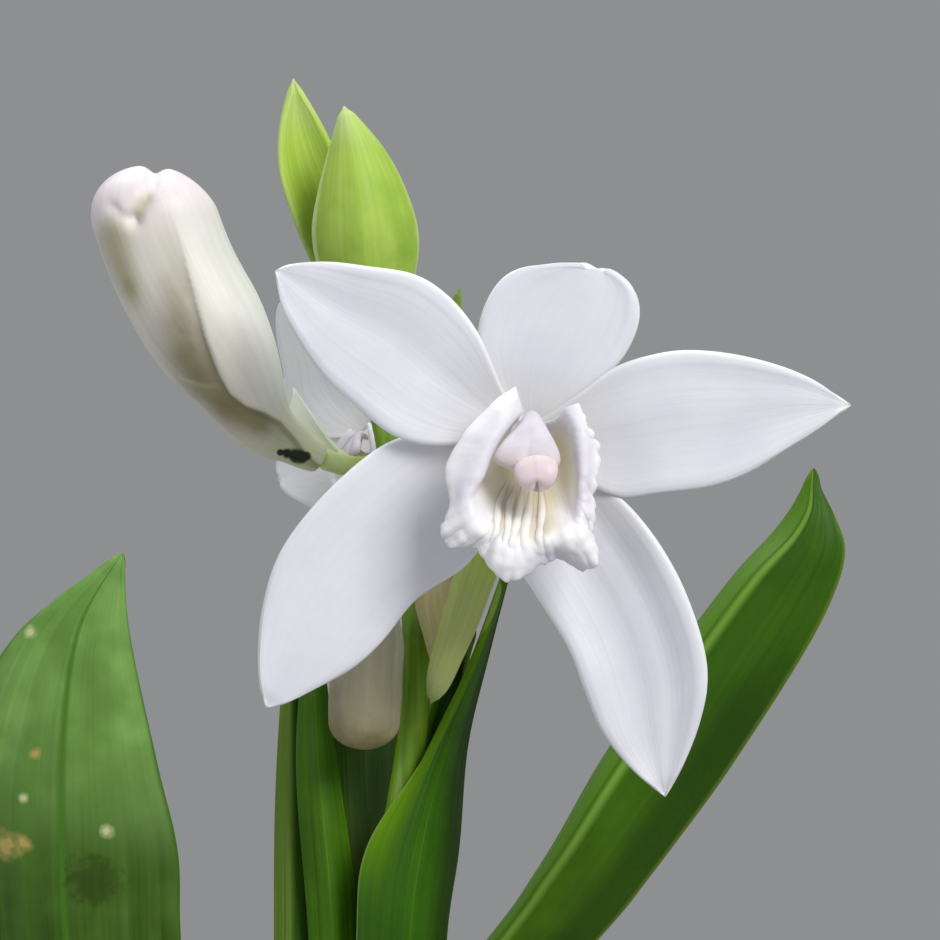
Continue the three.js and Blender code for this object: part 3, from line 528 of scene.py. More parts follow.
def tepalMaterial(name, tones):
    material, tree, shader = newMaterial(name, tones["finish"])
    place, lay = places(tree)
    veins = veinsOf(tree, lay, tones["veinCount"], tones["veinWidth"], 0.07)
    border = useGroup(tree, borderGroup, lay, 0.06, 0.12, 0.42, 0.06)
    cloud = patches(tree, place, 10.0, 0.35, 0.7)
    fade = times(tree, veins["Line"], ramp(tree, veins["Band"], 0.0, 1.0, 0.06, 0.22))
    # Painted highlight: the rim layer brightens the edges and tip over their paler margin.
    edge = compute(tree, "MAXIMUM", border["Edge"], border["Tip"])
    edge = times(tree, edge, compute(tree, "SUBTRACT", 0.65, times(tree, border["Foot"], 0.6)))
    # Painted shade: the claw layer darkens the foot of each tepal, over its own tint.
    colour = coats(tree, tones, "face", ("cloud", cloud, 0.6), ("vein", fade), ("clawTintAndShade", border["Foot"], 0.6),
                   ("rim", edge))
    dress(tree, shader, colour, cloud, (0.44, 0.58), (veins["Band"], 0.16, 0.12), (veins["Line"], 0.12, 0.04),
          (grain(tree, place, tones["cell"]), 0.1, 0.04))
    return material


def tepalSurface(frameAt, form):
    rails = [lineThrough([(x, 0, z) for x, z in form[key]])[0] for key in ("edgeA", "edgeB")]
    rows = byRow(rails, 0.9985)

    def at(u, t):
        a, b = rows(t)
        point = a.lerp(b, (u + 1) / 2)
        bowl = form["cup"] * u * u * math.sin(math.pi * min(1.0, 0.15 + 0.8 * t))
        f = form["layer"] + form["rise"] * t - form["droop"] * t * t + bowl
        for middle, width, height in form["ridges"]:
            ridge = height * math.exp(-((u - middle) / width) ** 2)
            f += ridge * smoothstep(0.05, 0.35, t) * smoothstep(1.06, 0.7, t)
        calm = smoothstep(1.0, 0.82, t)
        wave = noise.noise(Vector((2 * u, 5 * t, form["seed"])))
        f += 0.3 * abs(u) ** 3 * smoothstep(0.25, 0.6, t) * calm * wave
        f -= 0.25 * smoothstep(0.82, 1.0, abs(u)) * smoothstep(0.2, 0.5, t) * calm
        return frameAt(point.x, point.z, f)
    return at


frontTepals = {
    "dorsalSepal": {
        "node": "dorsal_sepal", "layer": 0, "rise": 3, "droop": 1.4, "cup": 0.7, "seed": 1.3,
        "ridges": [(0.1, 0.35, 0.15)],
        "edgeA": [(-0.6, 0.6), (-3.4, 4.5), (-4.7, 8.1), (-4.1, 11.1), (-2.8, 13.3), (-1.2, 14.4),
                  (1.5, 14.8), (4.2, 14.8), (6, 14.5)],
        "edgeB": [(0.7, 0.5), (4.9, 3.4), (7.6, 5.6), (9, 7.6), (9.8, 10.1), (9.5, 12.2), (8.1, 13.6),
                  (6, 14.5)],
    },
    "leftSepal": {
        "node": "left_sepal", "layer": 0, "rise": 2.6, "droop": 1, "cup": 0.7, "seed": 2.1,
        "ridges": [(-0.1, 0.4, -0.2)],
        "edgeA": [(-1.5, -0.4), (-8.1, -0.4), (-12.2, -0.9), (-17.6, -4.9), (-22.4, -10.9), (-24, -15.8),
                  (-24.4, -20.3), (-24.2, -23), (-23.7, -24.9)],
        "edgeB": [(-0.8, -1.2), (-2.7, -7.2), (-5.5, -11.9), (-10.2, -15.2), (-13.5, -19.2), (-16.1, -21.5),
                  (-19.4, -23.3), (-22.4, -24.7), (-23.7, -24.9)],
    },
    "rightSepal": {
        "node": "right_sepal", "layer": 0, "rise": 3.4, "droop": 1.4, "cup": 0.7, "seed": 3.7,
        "ridges": [(0.15, 0.25, 0.35), (1.05, 0.6, 2.0)],
        "edgeA": [(0.4, -1.4), (-1.2, -6.3), (-1.4, -11.7), (0.2, -14.4), (3.5, -19.8), (4.9, -23.5),
                  (6.5, -27.2), (9.2, -30.5), (12.1, -32.9)],
        "edgeB": [(1.3, -0.7), (4.9, -3.6), (9.2, -7.2), (13.1, -12.9), (15.5, -19.5), (15.8, -22.7),
                  (15.1, -26.3), (13.7, -30), (12.1, -32.9)],
    },
    "leftPetal": {
        "node": "left_petal", "layer": 1.3, "rise": 3.4, "droop": 1, "cup": 0.7, "seed": 4.9,
        "ridges": [(0.1, 0.3, -0.25)],
        "edgeA": [(-1.3, -0.6), (-5.4, -1.2), (-9, -1.4), (-12.4, -0.4), (-16.4, 2.8), (-18.8, 5.1),
                  (-20.8, 8.1), (-22.2, 11), (-22.8, 14.2)],
        "edgeB": [(-0.6, 0.8), (-2.3, 3.4), (-4.9, 9), (-7.5, 12.1), (-10.2, 13.8), (-14.7, 14.6),
                  (-18.4, 15), (-21.6, 14.7), (-22.8, 14.2)],
    },
    "rightPetal": {
        "node": "right_petal", "layer": 1.3, "rise": 3.4, "droop": 1.6, "cup": 0.8, "seed": 5.5,
        "ridges": [(-0.2, 0.35, 0.25)],
        "edgeA": [(0.8, 0.8), (4.5, 3.4), (7.6, 5.6), (10.5, 6.6), (13.8, 7.1), (18.9, 6.6), (24.2, 5),
                  (28.7, 2.2)],
        "edgeB": [(1.1, -0.7), (4, -4), (7.6, -5.9), (11.7, -5.6), (16.2, -5), (19.7, -3.7), (24.2, -0.9),
                  (28.7, 2.2)],
    },
}


def ovalTepal(node, angle, length, halfWidth, layer, seed, heavy=0.0):
    widths = [(0.09, 0.25), (0.25, 0.7), (0.45, 0.96), (0.6, 1), (0.78, 0.82), (0.92, 0.42), (1, 0)]
    cos, sin = math.cos(angle), math.sin(angle)

    def edge(side):  # heavy widens the lower half of its first edge
        swell = heavy * max(side, 0)
        reach = side * halfWidth
        halves = [(length * t, reach * width * (1 + swell * smoothstep(0.7, 0.3, t))) for t, width in widths]
        return [(along * cos - half * sin, along * sin + half * cos) for along, half in halves]
    return {"node": node, "edgeA": edge(1), "edgeB": edge(-1), "layer": layer, "seed": seed, "rise": 5,
            "droop": 2, "cup": 0.8, "ridges": [(0, 0.3, -0.15)]}


backTepals = {
    "backLeftPetal": ovalTepal("back_left_petal", 1.86, 24, 5.6, 1.9, 6.1, heavy=1.1),
    "backLeftSepal": ovalTepal("back_left_sepal", 3.18, 16.6, 6.4, 0, 7.3),
    "backDorsalSepal": ovalTepal("back_dorsal_sepal", 0.6, 17, 4.6, 0, 8.8),
    "backRightPetal": ovalTepal("back_right_petal", -0.5, 14, 4.4, 1.9, 9.2),
    "backRightSepal": ovalTepal("back_right_sepal", 4.75, 17, 4.4, 0, 10.4),
}


def buildTepals():
    # The back flower's tepals take a brighter copy of the tepal tones: painted light against the shade of the
    # front flower.
    paintedLightBackTones = {**tepalTones, "face": tone(243, 243, 248), "cloud": tone(234, 234, 241),
                 "clawTintAndShade": tone(241, 237, 240)}
    for forms, seat, grid, tones in ((frontTepals, frontSeat, (64, 110), tepalTones),
                                     (backTepals, backSeat, (40, 70), paintedLightBackTones)):
        material = tepalMaterial("tepalWhite", tones)
        for name, form in forms.items():
            piece = makeBlade(tepalSurface(flowerFrame(seat), form), *grid, bladeThickness["tepal"],
                              border=0.1, pinch=0.35)
            settle(piece, name, form["node"], material)


buildTepals()
print("tepals built")

# The lip, from its left lobe round the front to its right lobe. Each station is the rim, the crease behind
# the frill and the throat, each as (x, z, f).
lip = {
    "stations": [
        ((-1.4, 3.8, 6.0), (-0.9, 1.8, 6.0), (-1.2, 1.1, 2.9)),
        ((-3.6, 2.2, 7.0), (-2.1, 0.6, 7.3), (-1.8, 0.5, 2.9)),
        ((-6.1, -0.6, 7.6), (-3.4, -1.2, 8.2), (-2.2, -0.4, 2.9)),
        ((-7.6, -3.9, 7.8), (-4.6, -4.0, 8.8), (-2.4, -1.2, 2.9)),
        ((-7.0, -6.7, 8.2), (-5.6, -6.0, 9.2), (-2.0, -1.9, 2.9)),
        ((-8.0, -9.0, 8.6), (-5.2, -7.6, 9.6), (-1.6, -2.3, 2.9)),
        ((-7.2, -10.4, 8.6), (-4.6, -8.6, 9.9), (-1.2, -2.6, 2.9)),
        ((-5.0, -10.2, 8.8), (-3.6, -9.2, 10.1), (-0.8, -2.8, 2.9)),
        ((-3.6, -12.0, 9.9), (-2.6, -9.6, 10.3), (-0.4, -2.9, 2.9)),
        ((-1.9, -13.2, 10.2), (-1.4, -9.8, 10.4), (0, -3.0, 2.9)),
        ((0.9, -12.0, 9.0), (0.4, -10.2, 10.4), (0.4, -2.9, 2.9)),
        ((2.8, -11.5, 7.6), (1.8, -9.6, 10.2), (0.9, -2.8, 2.9)),
        ((4.9, -12.4, 8.0), (3.2, -9.4, 9.9), (1.3, -2.5, 2.9)),
        ((5.8, -11.1, 8.2), (4.2, -8.8, 9.6), (1.7, -2.2, 2.9)),
        ((5.3, -9.2, 8.4), (4.4, -7.6, 9.2), (2.0, -1.8, 2.9)),
        ((5.5, -6.7, 8.0), (4.5, -5.4, 8.8), (2.2, -1.1, 2.9)),
        ((5.8, -4.0, 7.8), (4.5, -2.8, 8.4), (2.1, -0.6, 2.9)),
        ((5.9, -1.8, 7.5), (4.4, -1.0, 8.0), (1.9, -0.3, 2.9)),
        ((5.1, 0.1, 7.1), (4.1, 0.5, 7.3), (1.6, 0.1, 2.9)),
        ((4.3, 2.3, 6.2), (3.3, 1.9, 6.0), (0.9, 0.6, 2.9)),
    ],
    "frill": {"forward": 0.8, "outward": 0.4, "curl": 0.55, "teeth": 0.45, "lumps": 0.22},
    "keels": {"at": (-0.33, -0.19, -0.09, 0.0, 0.12), "width": 0.0105, "height": 0.33, "waves": 3.0},
    "grid": (560, 52), "backSeat": {**backSeat, "scale": 0.5}, "backForward": 2.6, "backMargin": 0.3,
}
lipTones = {
    "face": tone(226, 225, 233), "cloud": tone(218, 215, 226), "throat": tone(231, 224, 194),
    "wall": tone(250, 246, 238), "front": tone(250, 249, 254), "archShade": tone(218, 214, 226),
    "gap": tone(219, 209, 183), "keel": tone(253, 251, 244), "rim": tone(248, 247, 252),
    "finish": tissue(0.48, 0.4, (1.0, 0.9, 0.8), 1.2, 0.4, 0.05),
}


def lipMaterial():
    # The lay attribute holds u, v and the height of the keels there.
    material, tree, shader = newMaterial("lipWhite", lipTones["finish"])
    place, lay = places(tree)
    across, along, ridge = (split(tree, lay)[axis] for axis in "XYZ")
    cloud = patches(tree, place, 2.6, 0.4, 0.66)
    inner = ramp(tree, compute(tree, "ABSOLUTE", across), 0.98, 0.7)
    deep = ramp(tree, compute(tree, "ADD", along, times(tree, cloud, 0.08)), 0.5, 0.1)
    between = times(tree, ramp(tree, across, -0.34, -0.2), ramp(tree, across, 0.28, 0.16))
    # Painted shade: a grey lavender zone where the front right margin of the lip turns under.
    archShade = times(tree, ramp(tree, across, -0.04, 0.06), ramp(tree, across, 0.34, 0.24))
    colour = coats(tree, lipTones, "face", ("cloud", cloud, 0.5),
                   ("front", ramp(tree, split(tree, place)["Z"], 0.2605, 0.2575)),
                   # Painted light: the wall layer makes the inside of the lip near white, brighter than its
                   # face, against the shade in the throat.
                   ("wall", times(tree, ramp(tree, along, 0.66, 0.3), inner), 0.9),
                   ("throat", times(tree, deep, inner)),
                   ("gap", times(tree, between, ramp(tree, along, 0.74, 0.56)), 0.75),
                   ("keel", times(tree, ramp(tree, ridge, 0.15, 0.8), ramp(tree, along, 0.18, 0.48)), 0.92),
                   ("rim", ramp(tree, along, 0.8, 1.0)),
                   ("archShade", times(tree, archShade, ramp(tree, along, 0.74, 0.84)), 0.8))
    veins = veinsOf(tree, lay, 24.0, 0.5, 0.05)
    dress(tree, shader, colour, cloud, (0.42, 0.55), (veins["Band"], 0.3, 0.12),
          (grain(tree, place, 0.16), 0.2, 0.04))
    return material


def lipSurface(frameAt, margin, ridged):
    stations = lip["stations"]
    rails = [splineThrough([(x, f, z) for x, z, f in (station[k] for station in stations)]) for k in range(3)]
    frill, keels = lip["frill"], lip["keels"]
    columns = {}

    def column(u):
        key = round(u, 6)
        if key not in columns:
            at = min(max((u + 1) / 2, 0.0), 1.0)
            rim, crease, throat = (rail(at) for rail in rails)
            rim = rim.lerp(crease, 1 - margin)
            belly = throat.lerp(crease, 0.5)
            belly = Vector((belly.x * 1.16, belly.y, belly.z * 1.1 - 0.35))
            columns[key] = splineThrough([throat, belly, crease, rim]), at
        return columns[key]

    def keelHeight(u, v):
        total = 0.0
        for k, middle in enumerate(keels["at"]):
            wander = 0.008 * math.sin(9 * v + 2.3 * k)
            lean = 1 - 0.35 * smoothstep(0.2, 0.7, v)  # they draw together towards the front
            away = (u + 0.02 - (middle + 0.02) * lean - wander) / keels["width"]
            crest = 1 + 0.22 * math.sin(2 * math.pi * keels["waves"] * v + 1.9 * k)
            crest += 0.12 * math.sin(31 * v + 5 * k)
            run = smoothstep(0.12, 0.34, v) * (1 - smoothstep(0.52 + 0.03 * math.sin(2 * k), 0.86, v))
            total += math.exp(-away * away) * crest * run
        return total

    def plain(u, v):
        line, at = column(u)
        point = line(v)
        share = margin * smoothstep(0.52, 1, v) * smoothstep(0, 0.07, at) * smoothstep(0, 0.05, 1 - at)
        out = Vector((point.x, 0, point.z + 4)).normalized()
        front = smoothstep(0.16, 0.32, at) * smoothstep(0.86, 0.74, at)
        slow = noise.noise(Vector((22 * at, 0.8 * v, 4.2)))
        turned = noise.noise(Vector((20 * at, 1.2 * v, 17.3)))
        curl = noise.noise(Vector((46 * at, 3 * v, 9.7))) * (0.2 + 0.8 * front)
        tooth = noise.noise(Vector((64 * at, 2 * v, 2.2))) * smoothstep(0.76, 1.0, v)
        tooth *= 0.25 + 0.75 * smoothstep(0.2, 0.34, at)
        point += out * share * (frill["outward"] * slow * (0.4 + 0.6 * front) + frill["teeth"] * tooth)
        point.y += share * (frill["forward"] * turned * (0.3 + 0.7 * front) + frill["curl"] * curl)
        lump = noise.noise(point * 1.2) * smoothstep(0.4, 0.6, v) * (1 - smoothstep(0.85, 1.0, v))
        lump *= 0.2 + 0.8 * front
        point.y += margin * frill["lumps"] * lump
        return point

    def upward(u, v):
        du = plain(u + 0.004, v) - plain(u - 0.004, v)
        dv = plain(u, min(v + 0.01, 1)) - plain(u, v - 0.01)
        return du.cross(dv).normalized()
    facing = math.copysign(1.0, upward(-0.02, 0.4).z)

    def at(u, v):
        point = plain(u, v)
        high = keelHeight(u, v) if ridged else 0.0
        if high > 0.01:
            point = point + upward(u, v) * (facing * keels["height"] * high)
        return frameAt(point.x, point.z, point.y)
    return at, keelHeight


def buildLips():
    material = lipMaterial()
    surface, keelHeight = lipSurface(flowerFrame(frontSeat), 1.0, True)
    piece = makeBlade(surface, *lip["grid"], bladeThickness["lip"], thin=0.6, border=0.02, extra=keelHeight)
    settle(piece, "frontLip", "lip", material)
    back = flowerFrame(lip["backSeat"])
    surface, _ = lipSurface(lambda x, z, f: back(x, z, f + lip["backForward"]), lip["backMargin"], False)
    piece = makeBlade(surface, 120, 24, bladeThickness["lip"], thin=0.6, border=0.05)
    settle(piece, "backLip", "back_lip", material)


buildLips()
print("lips built")

# The column arches forward and down over the throat, with a wing on each side and the anther cap on its end.
column = {
    "line": [(0, 0.5, 2.7), (0.1, 0.9, 4.6), (0.05, -0.1, 7), (-0.25, -2.1, 9), (-0.45, -3.7, 9.9)],
    "wing": 0.5, "hollow": 0.5, "backScale": 0.45, "pit": (12.2, -24.6, 263.9),
}
columnTones = {
    "back": tone(216, 212, 222), "side": tone(207, 199, 205), "end": tone(208, 193, 195),
    # The pit tone is painted shade for the crevice above the anther cap.
    "pit": tone(128, 108, 84), "finish": tissue(0.42, 0.3, (1.0, 0.8, 0.8), 0.9, 0.45),
}
anther = {
    "line": [(0.3, -2.5, 9.5), (0.4, -3.5, 10.3), (0.5, -4.5, 10.8), (0.5, -5.2, 10.7)],
    "radius": 1.98, "groove": 0.07, "flat": 0.42, "lobes": 0.85,
}
antherTones = {
    "face": tone(227, 209, 217), "crown": tone(222, 207, 205), "groove": tone(198, 178, 176),
    "finish": tissue(0.45, 0.25, (1.0, 0.8, 0.7), 0.8, 0.4),
}


def columnMaterial():
    # The column's foot takes the lip's wall tone, the same painted light inside the throat.
    tones = {**columnTones, "wall": lipTones["wall"]}
    material, tree, shader = newMaterial("columnPink", tones["finish"])
    place, lay = places(tree)
    along = split(tree, lay)["Y"]
    cloud = patches(tree, place, 1.6, 0.35, 0.7)
    # Painted shade: a dark mark in the crevice where the column meets the top edge of the anther cap.
    pit = markAt(tree, place, column["pit"], 0.55, 0.5)["Core"]
    colour = coats(tree, tones, "back", ("side", cloud, 0.7), ("end", ramp(tree, along, 0.72, 0.97)),
                   ("wall", ramp(tree, along, 0.2, 0.0)), ("pit", pit, 0.8))
    dress(tree, shader, colour, cloud, (0.36, 0.5), (cloud, 0.25, 0.1), (grain(tree, place, 0.14), 0.2, 0.03))
    return material


def antherMaterial():
    material, tree, shader = newMaterial("antherCap", antherTones["finish"])
    place, lay = places(tree)
    cloud = patches(tree, place, 1.2, 0.35, 0.7)
    middle = ramp(tree, compute(tree, "ABSOLUTE", split(tree, lay)["X"]), 0.0, 0.16, 1.0, 0.0)
    colour = coats(tree, antherTones, "face", ("crown", cloud), ("groove", middle, 0.25))
    dress(tree, shader, colour, cloud, (0.38, 0.52), (grain(tree, place, 0.12), 0.25, 0.03))
    return material


def columnSurface(frameAt, scale):
    up = frameAt(0, 1, 0.6) - frameAt(0, 0, 0)

    def section(angle, t):
        wide = blendValue(0.72, 2.45, smoothstep(0.12, 0.92, t)) * (1 - 0.22 * smoothstep(0.88, 1, t))
        deep = blendValue(0.75, 0.9, t)
        wide += column["wing"] * smoothstep(0.45, 0.85, t) * abs(math.cos(angle)) ** 10
        back = max(0.0, -math.sin(angle))
        deep *= 1 + 0.22 * back ** 8 * smoothstep(0.15, 0.5, t) - 0.1 * (back ** 3 - back ** 8)
        radius = wide * deep / math.hypot(deep * math.cos(angle), wide * math.sin(angle))
        under = max(0.0, math.sin(angle)) ** 2 * smoothstep(0.35, 0.7, t)
        return scale * radius * (1 - column["hollow"] * under) * closeEnds(t, 0.03, 0.08)
    line = lineThrough([frameAt(*point) for point in column["line"]])
    return sweepSurface(line, section, up=up)


def antherSurface(frameAt):
    def section(angle, t):
        lobes = 1 - anther["groove"] * abs(math.sin(angle)) ** 10 * smoothstep(0.05, 0.4, t)
        bulge = max(0.0, math.sin(math.pi * (0.1 + 0.9 * t))) ** 0.5
        return anther["radius"] * lobes * bulge * closeEnds(t, 0.1, 0.02)
    lobe = lambda angle, t: anther["lobes"] * smoothstep(0.45, 0.95, t) * (abs(math.cos(angle)) ** 1.5 - 0.6)
    line = lineThrough([frameAt(*point) for point in anther["line"]])
    return sweepSurface(line, section, flat=anther["flat"], up=(0, 1, 0.1), lobe=lobe)


def buildColumns():
    front = flowerFrame(frontSeat)
    material = columnMaterial()
    settle(makeTube(columnSurface(front, 1.0), 72, 60), "frontColumn", "column", material)
    settle(makeTube(antherSurface(front), 64, 48), "antherCap", "anther_cap", antherMaterial())
    back = flowerFrame(lip["backSeat"])
    seat = lambda x, z, f: back(x, z, f + lip["backForward"])
    settle(makeTube(columnSurface(seat, column["backScale"]), 48, 40), "backColumn", "back_column",
           material)


buildColumns()
print("columns built")

# Stem and stalks: one shoot, whose side stalks run out as the ovaries and buds.
stem = {
    "line": [(0, 0, 95), (-0.3, 0, 150), (-0.7, 0, 200), (0, 0, 222), (1.8, 0, 232), (2.9, 0, 240),
             (3.1, 0, 249), (2.4, 1, 256.5), (0.7, 2, 265), (-1, 3, 273.2), (-1.8, 3, 279.5)],
    "foot": 1.9, "top": 1.25, "voxel": 0.24, "paleFrom": {"Z": (257, 262), "X": (-0.5, -4)},
    "stalks": {
        "front": {"end": 0.32, "radius": 1.05,
                  "line": [(3, 0, 247), (4.5, -1.6, 251.5), (9, -3.6, 258), (13, -8, 264.6),
                           (13.5, -12.9, 266.6)]},
        "back": {"end": 0.4, "radius": 0.9,
                 "line": [(2.6, 1, 256), (5.4, 5.5, 258.6), (6.4, 12, 261.8), (3.8, 16.2, 265),
                          (0.6, 14.4, 265.9)]},
        "tall": {"end": 0.19, "radius": 1.0,
                 "line": [(0.9, 1.6, 263.5), (-2.6, -0.6, 263.3), (-6.4, -2.4, 264.4), (-8.3, -3, 265.5),
                          (-10.7, -4, 267.2), (-14.4, -5, 273.3), (-18.6, -5, 280.6), (-20.7, -5, 286),
                          (-22.1, -5, 290.9)]},
        "nodding": {"end": 0.28, "radius": 0.8,
                    "line": [(2.8, 0, 252.5), (1.4, -3, 254.2), (-0.3, -5, 252.6), (-0.9, -5.4, 249),
                             (-1.5, -5.4, 242.5), (-1.6, -5.4, 237.4)]},
    },
}
stemTones = {
    "face": tone(124, 166, 28), "dark": tone(92, 138, 8), "pale": tone(160, 190, 70),
    "flush": tone(140, 146, 60), "pedicel": tone(206, 218, 150),
    "finish": tissue(0.42, 0.15, (0.7, 1.0, 0.3), 0.7, 0.5),
}


def stemMaterial():
    material, tree, shader = newMaterial("stemGreen", stemTones["finish"])
    place, _ = places(tree)
    drawn = stretch(tree, place, (1.0, 1.0, 0.05))
    streak = patches(tree, drawn, 0.9, 0.38, 0.66)
    parts, edges = split(tree, place), stem["paleFrom"]
    pale = times(tree, *(ramp(tree, parts[axis], *(edge * mm for edge in edges[axis])) for axis in "ZX"))
    colour = coats(tree, stemTones, "face", ("dark", streak),
                   ("pale", patches(tree, place, 7.0, 0.35, 0.7), 0.5), ("pedicel", pale, 0.85),
                   ("flush", patches(tree, place, 0.5, 0.66, 0.76), 0.7))
    dress(tree, shader, colour, streak, (0.36, 0.5), (streak, 0.4, 0.08),
          (grain(tree, drawn, 0.25), 0.15, 0.03))
    return material


def buildStem():
    def swell(_, t):
        return blendValue(stem["foot"], stem["top"], smoothstep(0.3, 1, t)) * closeEnds(t, 0.008, 0.006)
    parts = [makeTube(sweepSurface(lineThrough(stem["line"]), swell), 40, 400)]
    for stalk in stem["stalks"].values():
        def flare(_, t, radius=stalk["radius"]):
            return radius * (1 + 0.35 * (1 - smoothstep(0, 0.5, t))) * closeEnds(t, 0.06, 0.06)
        line = lineThrough(stalk["line"])
        parts.append(makeTube(sweepSurface(line, flare, stop=stalk["end"], up=(0.3, 0.2, 1)), 32, 60))
    shoot = joinPieces(parts)
    applyModifier(shoot, "REMESH", mode="VOXEL", voxel_size=stem["voxel"] * mm)
    applyModifier(shoot, "SMOOTH", factor=0.6, iterations=6)
    bpy.ops.object.shade_smooth()
    return settle(shoot, "flowerStem", "flower_stem", stemMaterial())


stemPiece = buildStem()


def buildOvaries():
    kinds = (("frontOvary", "ovary", "front", 1.25), ("backOvary", "back_ovary", "back", 1.05))
    for name, node, key, width in kinds:
        stalk = stem["stalks"][key]

        def section(angle, t, width=width):
            ribs = 1 - 0.09 * math.cos(3 * angle + 2.2 * t) - 0.03 * math.cos(6 * angle + 4.4 * t)
            swell = 0.8 + 0.35 * math.sin(math.pi * (0.2 + 0.6 * t))
            return width * swell * ribs * closeEnds(t, 0.04, 0.03)
        line = lineThrough(stalk["line"])
        tube = makeTube(sweepSurface(line, section, start=stalk["end"] - 0.02, up=(0.3, 0.2, 1)), 60, 90)
        settle(tube, name, node, stemPiece.data.materials[0])


buildOvaries()
print("stem built")

# The buds: a swelling that rounds off over its last part, where its sepals meet in turning seams.
buds = {
    "tall": {"width": 5.75, "neck": 0.23, "full": 0.57, "blunt": 0.84, "seam": 0.02, "sharp": 4, "start": 0.9,
             "turn": -0.8},
    "nodding": {"width": 3.3, "neck": 0.26, "full": 0.45, "blunt": 0.85, "seam": 0.1, "sharp": 10,
                "start": 0.4, "turn": 0.5},
    "terminal": {"width": 2.2, "neck": 0.5, "full": 0.4, "blunt": 0.6, "seam": 0.1, "sharp": 8, "start": 0.6,
                 "turn": 0.5,
                 "line": [(-1.85, 3, 279.6), (-2.4, 2.8, 284), (-3.2, 2.8, 289), (-3.8, 2.8, 292.5)]},
}
# Lines on the tall bud's face, each with its half width in millimetres.
tallBud = {
    "depth": -8, "grid": (180, 230), "flat": 0.86,
    "overlap": [(168, 200), (182, 243), (198, 305), (209, 347), (234, 399), (278, 420), (308, 457),
                (329, 477)],
    "under": [(140, 330), (168, 372), (189, 384), (207, 388), (224, 384)],
    "notch": [(154, 158), (152, 182), (146, 198), (134, 220)], "notchWidth": 0.85, "notchDepth": 0.75,
    "tilt": 0.95, "pit": (133.5, 220), "pitWidth": 0.55, "pitDepth": 0.5,
    "crease": [(112, 206), (122, 216), (134, 221)], "creaseWidth": 0.5, "creaseDepth": 0.22,
    # The shade and olive paths mark painted shade left of and under the overlapping sepal; olive also carries
    # the sepals' own olive tint.
    "shade": [(164, 240), (174, 290), (184, 328), (199, 373), (236, 412), (268, 430)],
    "shadeWidths": (1.4, 2.2, 2.5, 2.2, 1.6, 0.9),
    "olive": [(170, 300), (184, 345), (204, 385), (228, 408), (256, 424), (276, 434)],
    "oliveWidths": (1.5, 1.8, 1.8, 1.5, 1.0, 0.6),
    "moss": [(108, 212), (113, 236), (122, 268), (140, 312)], "mossWidths": (0.9, 1.5, 1.2, 0.8),
    "stain": [(155, 192), (146, 202), (134, 216)], "stainWidths": (0.5, 0.7, 0.5),
    "overlapStep": (0.62, 3.2), "underStep": (0.3, 1.6), "overlapShadeWidth": 3.0,
}
tallBudTones = {
    "face": tone(236, 234, 224), "cool": tone(228, 229, 225), "top": tone(238, 230, 234),
    # The shade tone is a painted shadow colour; the olive tone is an olive tint also used for painted shade.
    "foot": tone(214, 219, 182), "shade": tone(132, 124, 102), "olive": tone(126, 118, 68),
    "moss": tone(160, 154, 98), "stain": tone(190, 182, 140), "scar": tone(28, 36, 18),
    "scars": [(-9.3, 264.6, 0.4), (-8.7, 264.5, 0.62), (-8.0, 264.3, 0.8), (-7.4, 264.2, 0.8),
              (-6.9, 264.3, 0.55)],
    "finish": tissue(0.45, 0.25, (1.0, 0.95, 0.8), 1.0, 0.4, 0.05),
}


def roundLay(tree, lay):  # how far round a stalk or bud, from -1 to 1 with its join at the back, and along
    parts = split(tree, lay)
    turn = compute(tree, "ARCTAN2", parts["X"], times(tree, parts["Z"], -1.0))
    around = compute(tree, "DIVIDE", turn, math.pi)
    return addNode(tree, "CombineXYZ", {"X": around, "Y": parts["Y"]}).outputs[0], parts


def tallBudMaterial():
    tones = tallBudTones
    material, tree, shader = newMaterial("tallBudCream", tones["finish"])
    place, lay = places(tree)
    turned, parts = roundLay(tree, lay)
    budShadeMasks, more = split(tree, attribute(tree, "budShadeMasks")), split(tree, attribute(tree, "stains"))
    cloud = patches(tree, place, 4.5, 0.35, 0.7)
    torn = ramp(tree, cloud, 0.0, 1.0, 0.78, 1.0)
    veins = veinsOf(tree, turned, 22.0, 0.3, 0.05)
    # The shade and olive layers of the bud's masks are painted shade under and along the overlapping sepal's
    # edge.
    colour = coats(tree, tones, "face", ("cool", ramp(tree, parts["X"], 0.1, 0.9)),
                   ("top", ramp(tree, parts["Y"], 0.72, 0.95)), ("foot", ramp(tree, parts["Y"], 0.34, 0.02)),
                   ("moss", veins["Band"], 0.12), ("moss", times(tree, more["X"], torn)),
                   ("stain", times(tree, more["Y"], torn)), ("shade", times(tree, budShadeMasks["X"], torn)),
                   ("olive", times(tree, budShadeMasks["Y"], torn)), ("olive", budShadeMasks["Z"], 0.75))
    flat = stretch(tree, place, (1.0, 0.0, 1.0))
    front = ramp(tree, parts["Z"], 0.1, -0.1)
    for x, z, radius in tones["scars"]:
        scar = markAt(tree, flat, (x, 0, z), radius, 0.6)["Core"]
        colour = cover(tree, colour, tones["scar"], times(tree, scar, front))
    dress(tree, shader, colour, cloud, (0.38, 0.52), (veins["Band"], 0.12, 0.1), (veins["Line"], 0.1, 0.03),
          (grain(tree, place, 0.2), 0.12, 0.04))
    return material


def budWidth(form):
    def width(angle, t):
        swell = blendValue(form["neck"], 1, smoothstep(-0.05, form["full"], t))
        past = max(0.0, t - form["blunt"]) / (1 - form["blunt"])
        close = max(0.0, 1 - past * past) ** 0.5
        groove = abs(math.cos(1.5 * angle + form["start"] + form["turn"] * t)) ** form["sharp"]
        return form["width"] * swell * close * (1 - form["seam"] * groove) * closeEnds(t, 0.02, 0.0001)
    return width


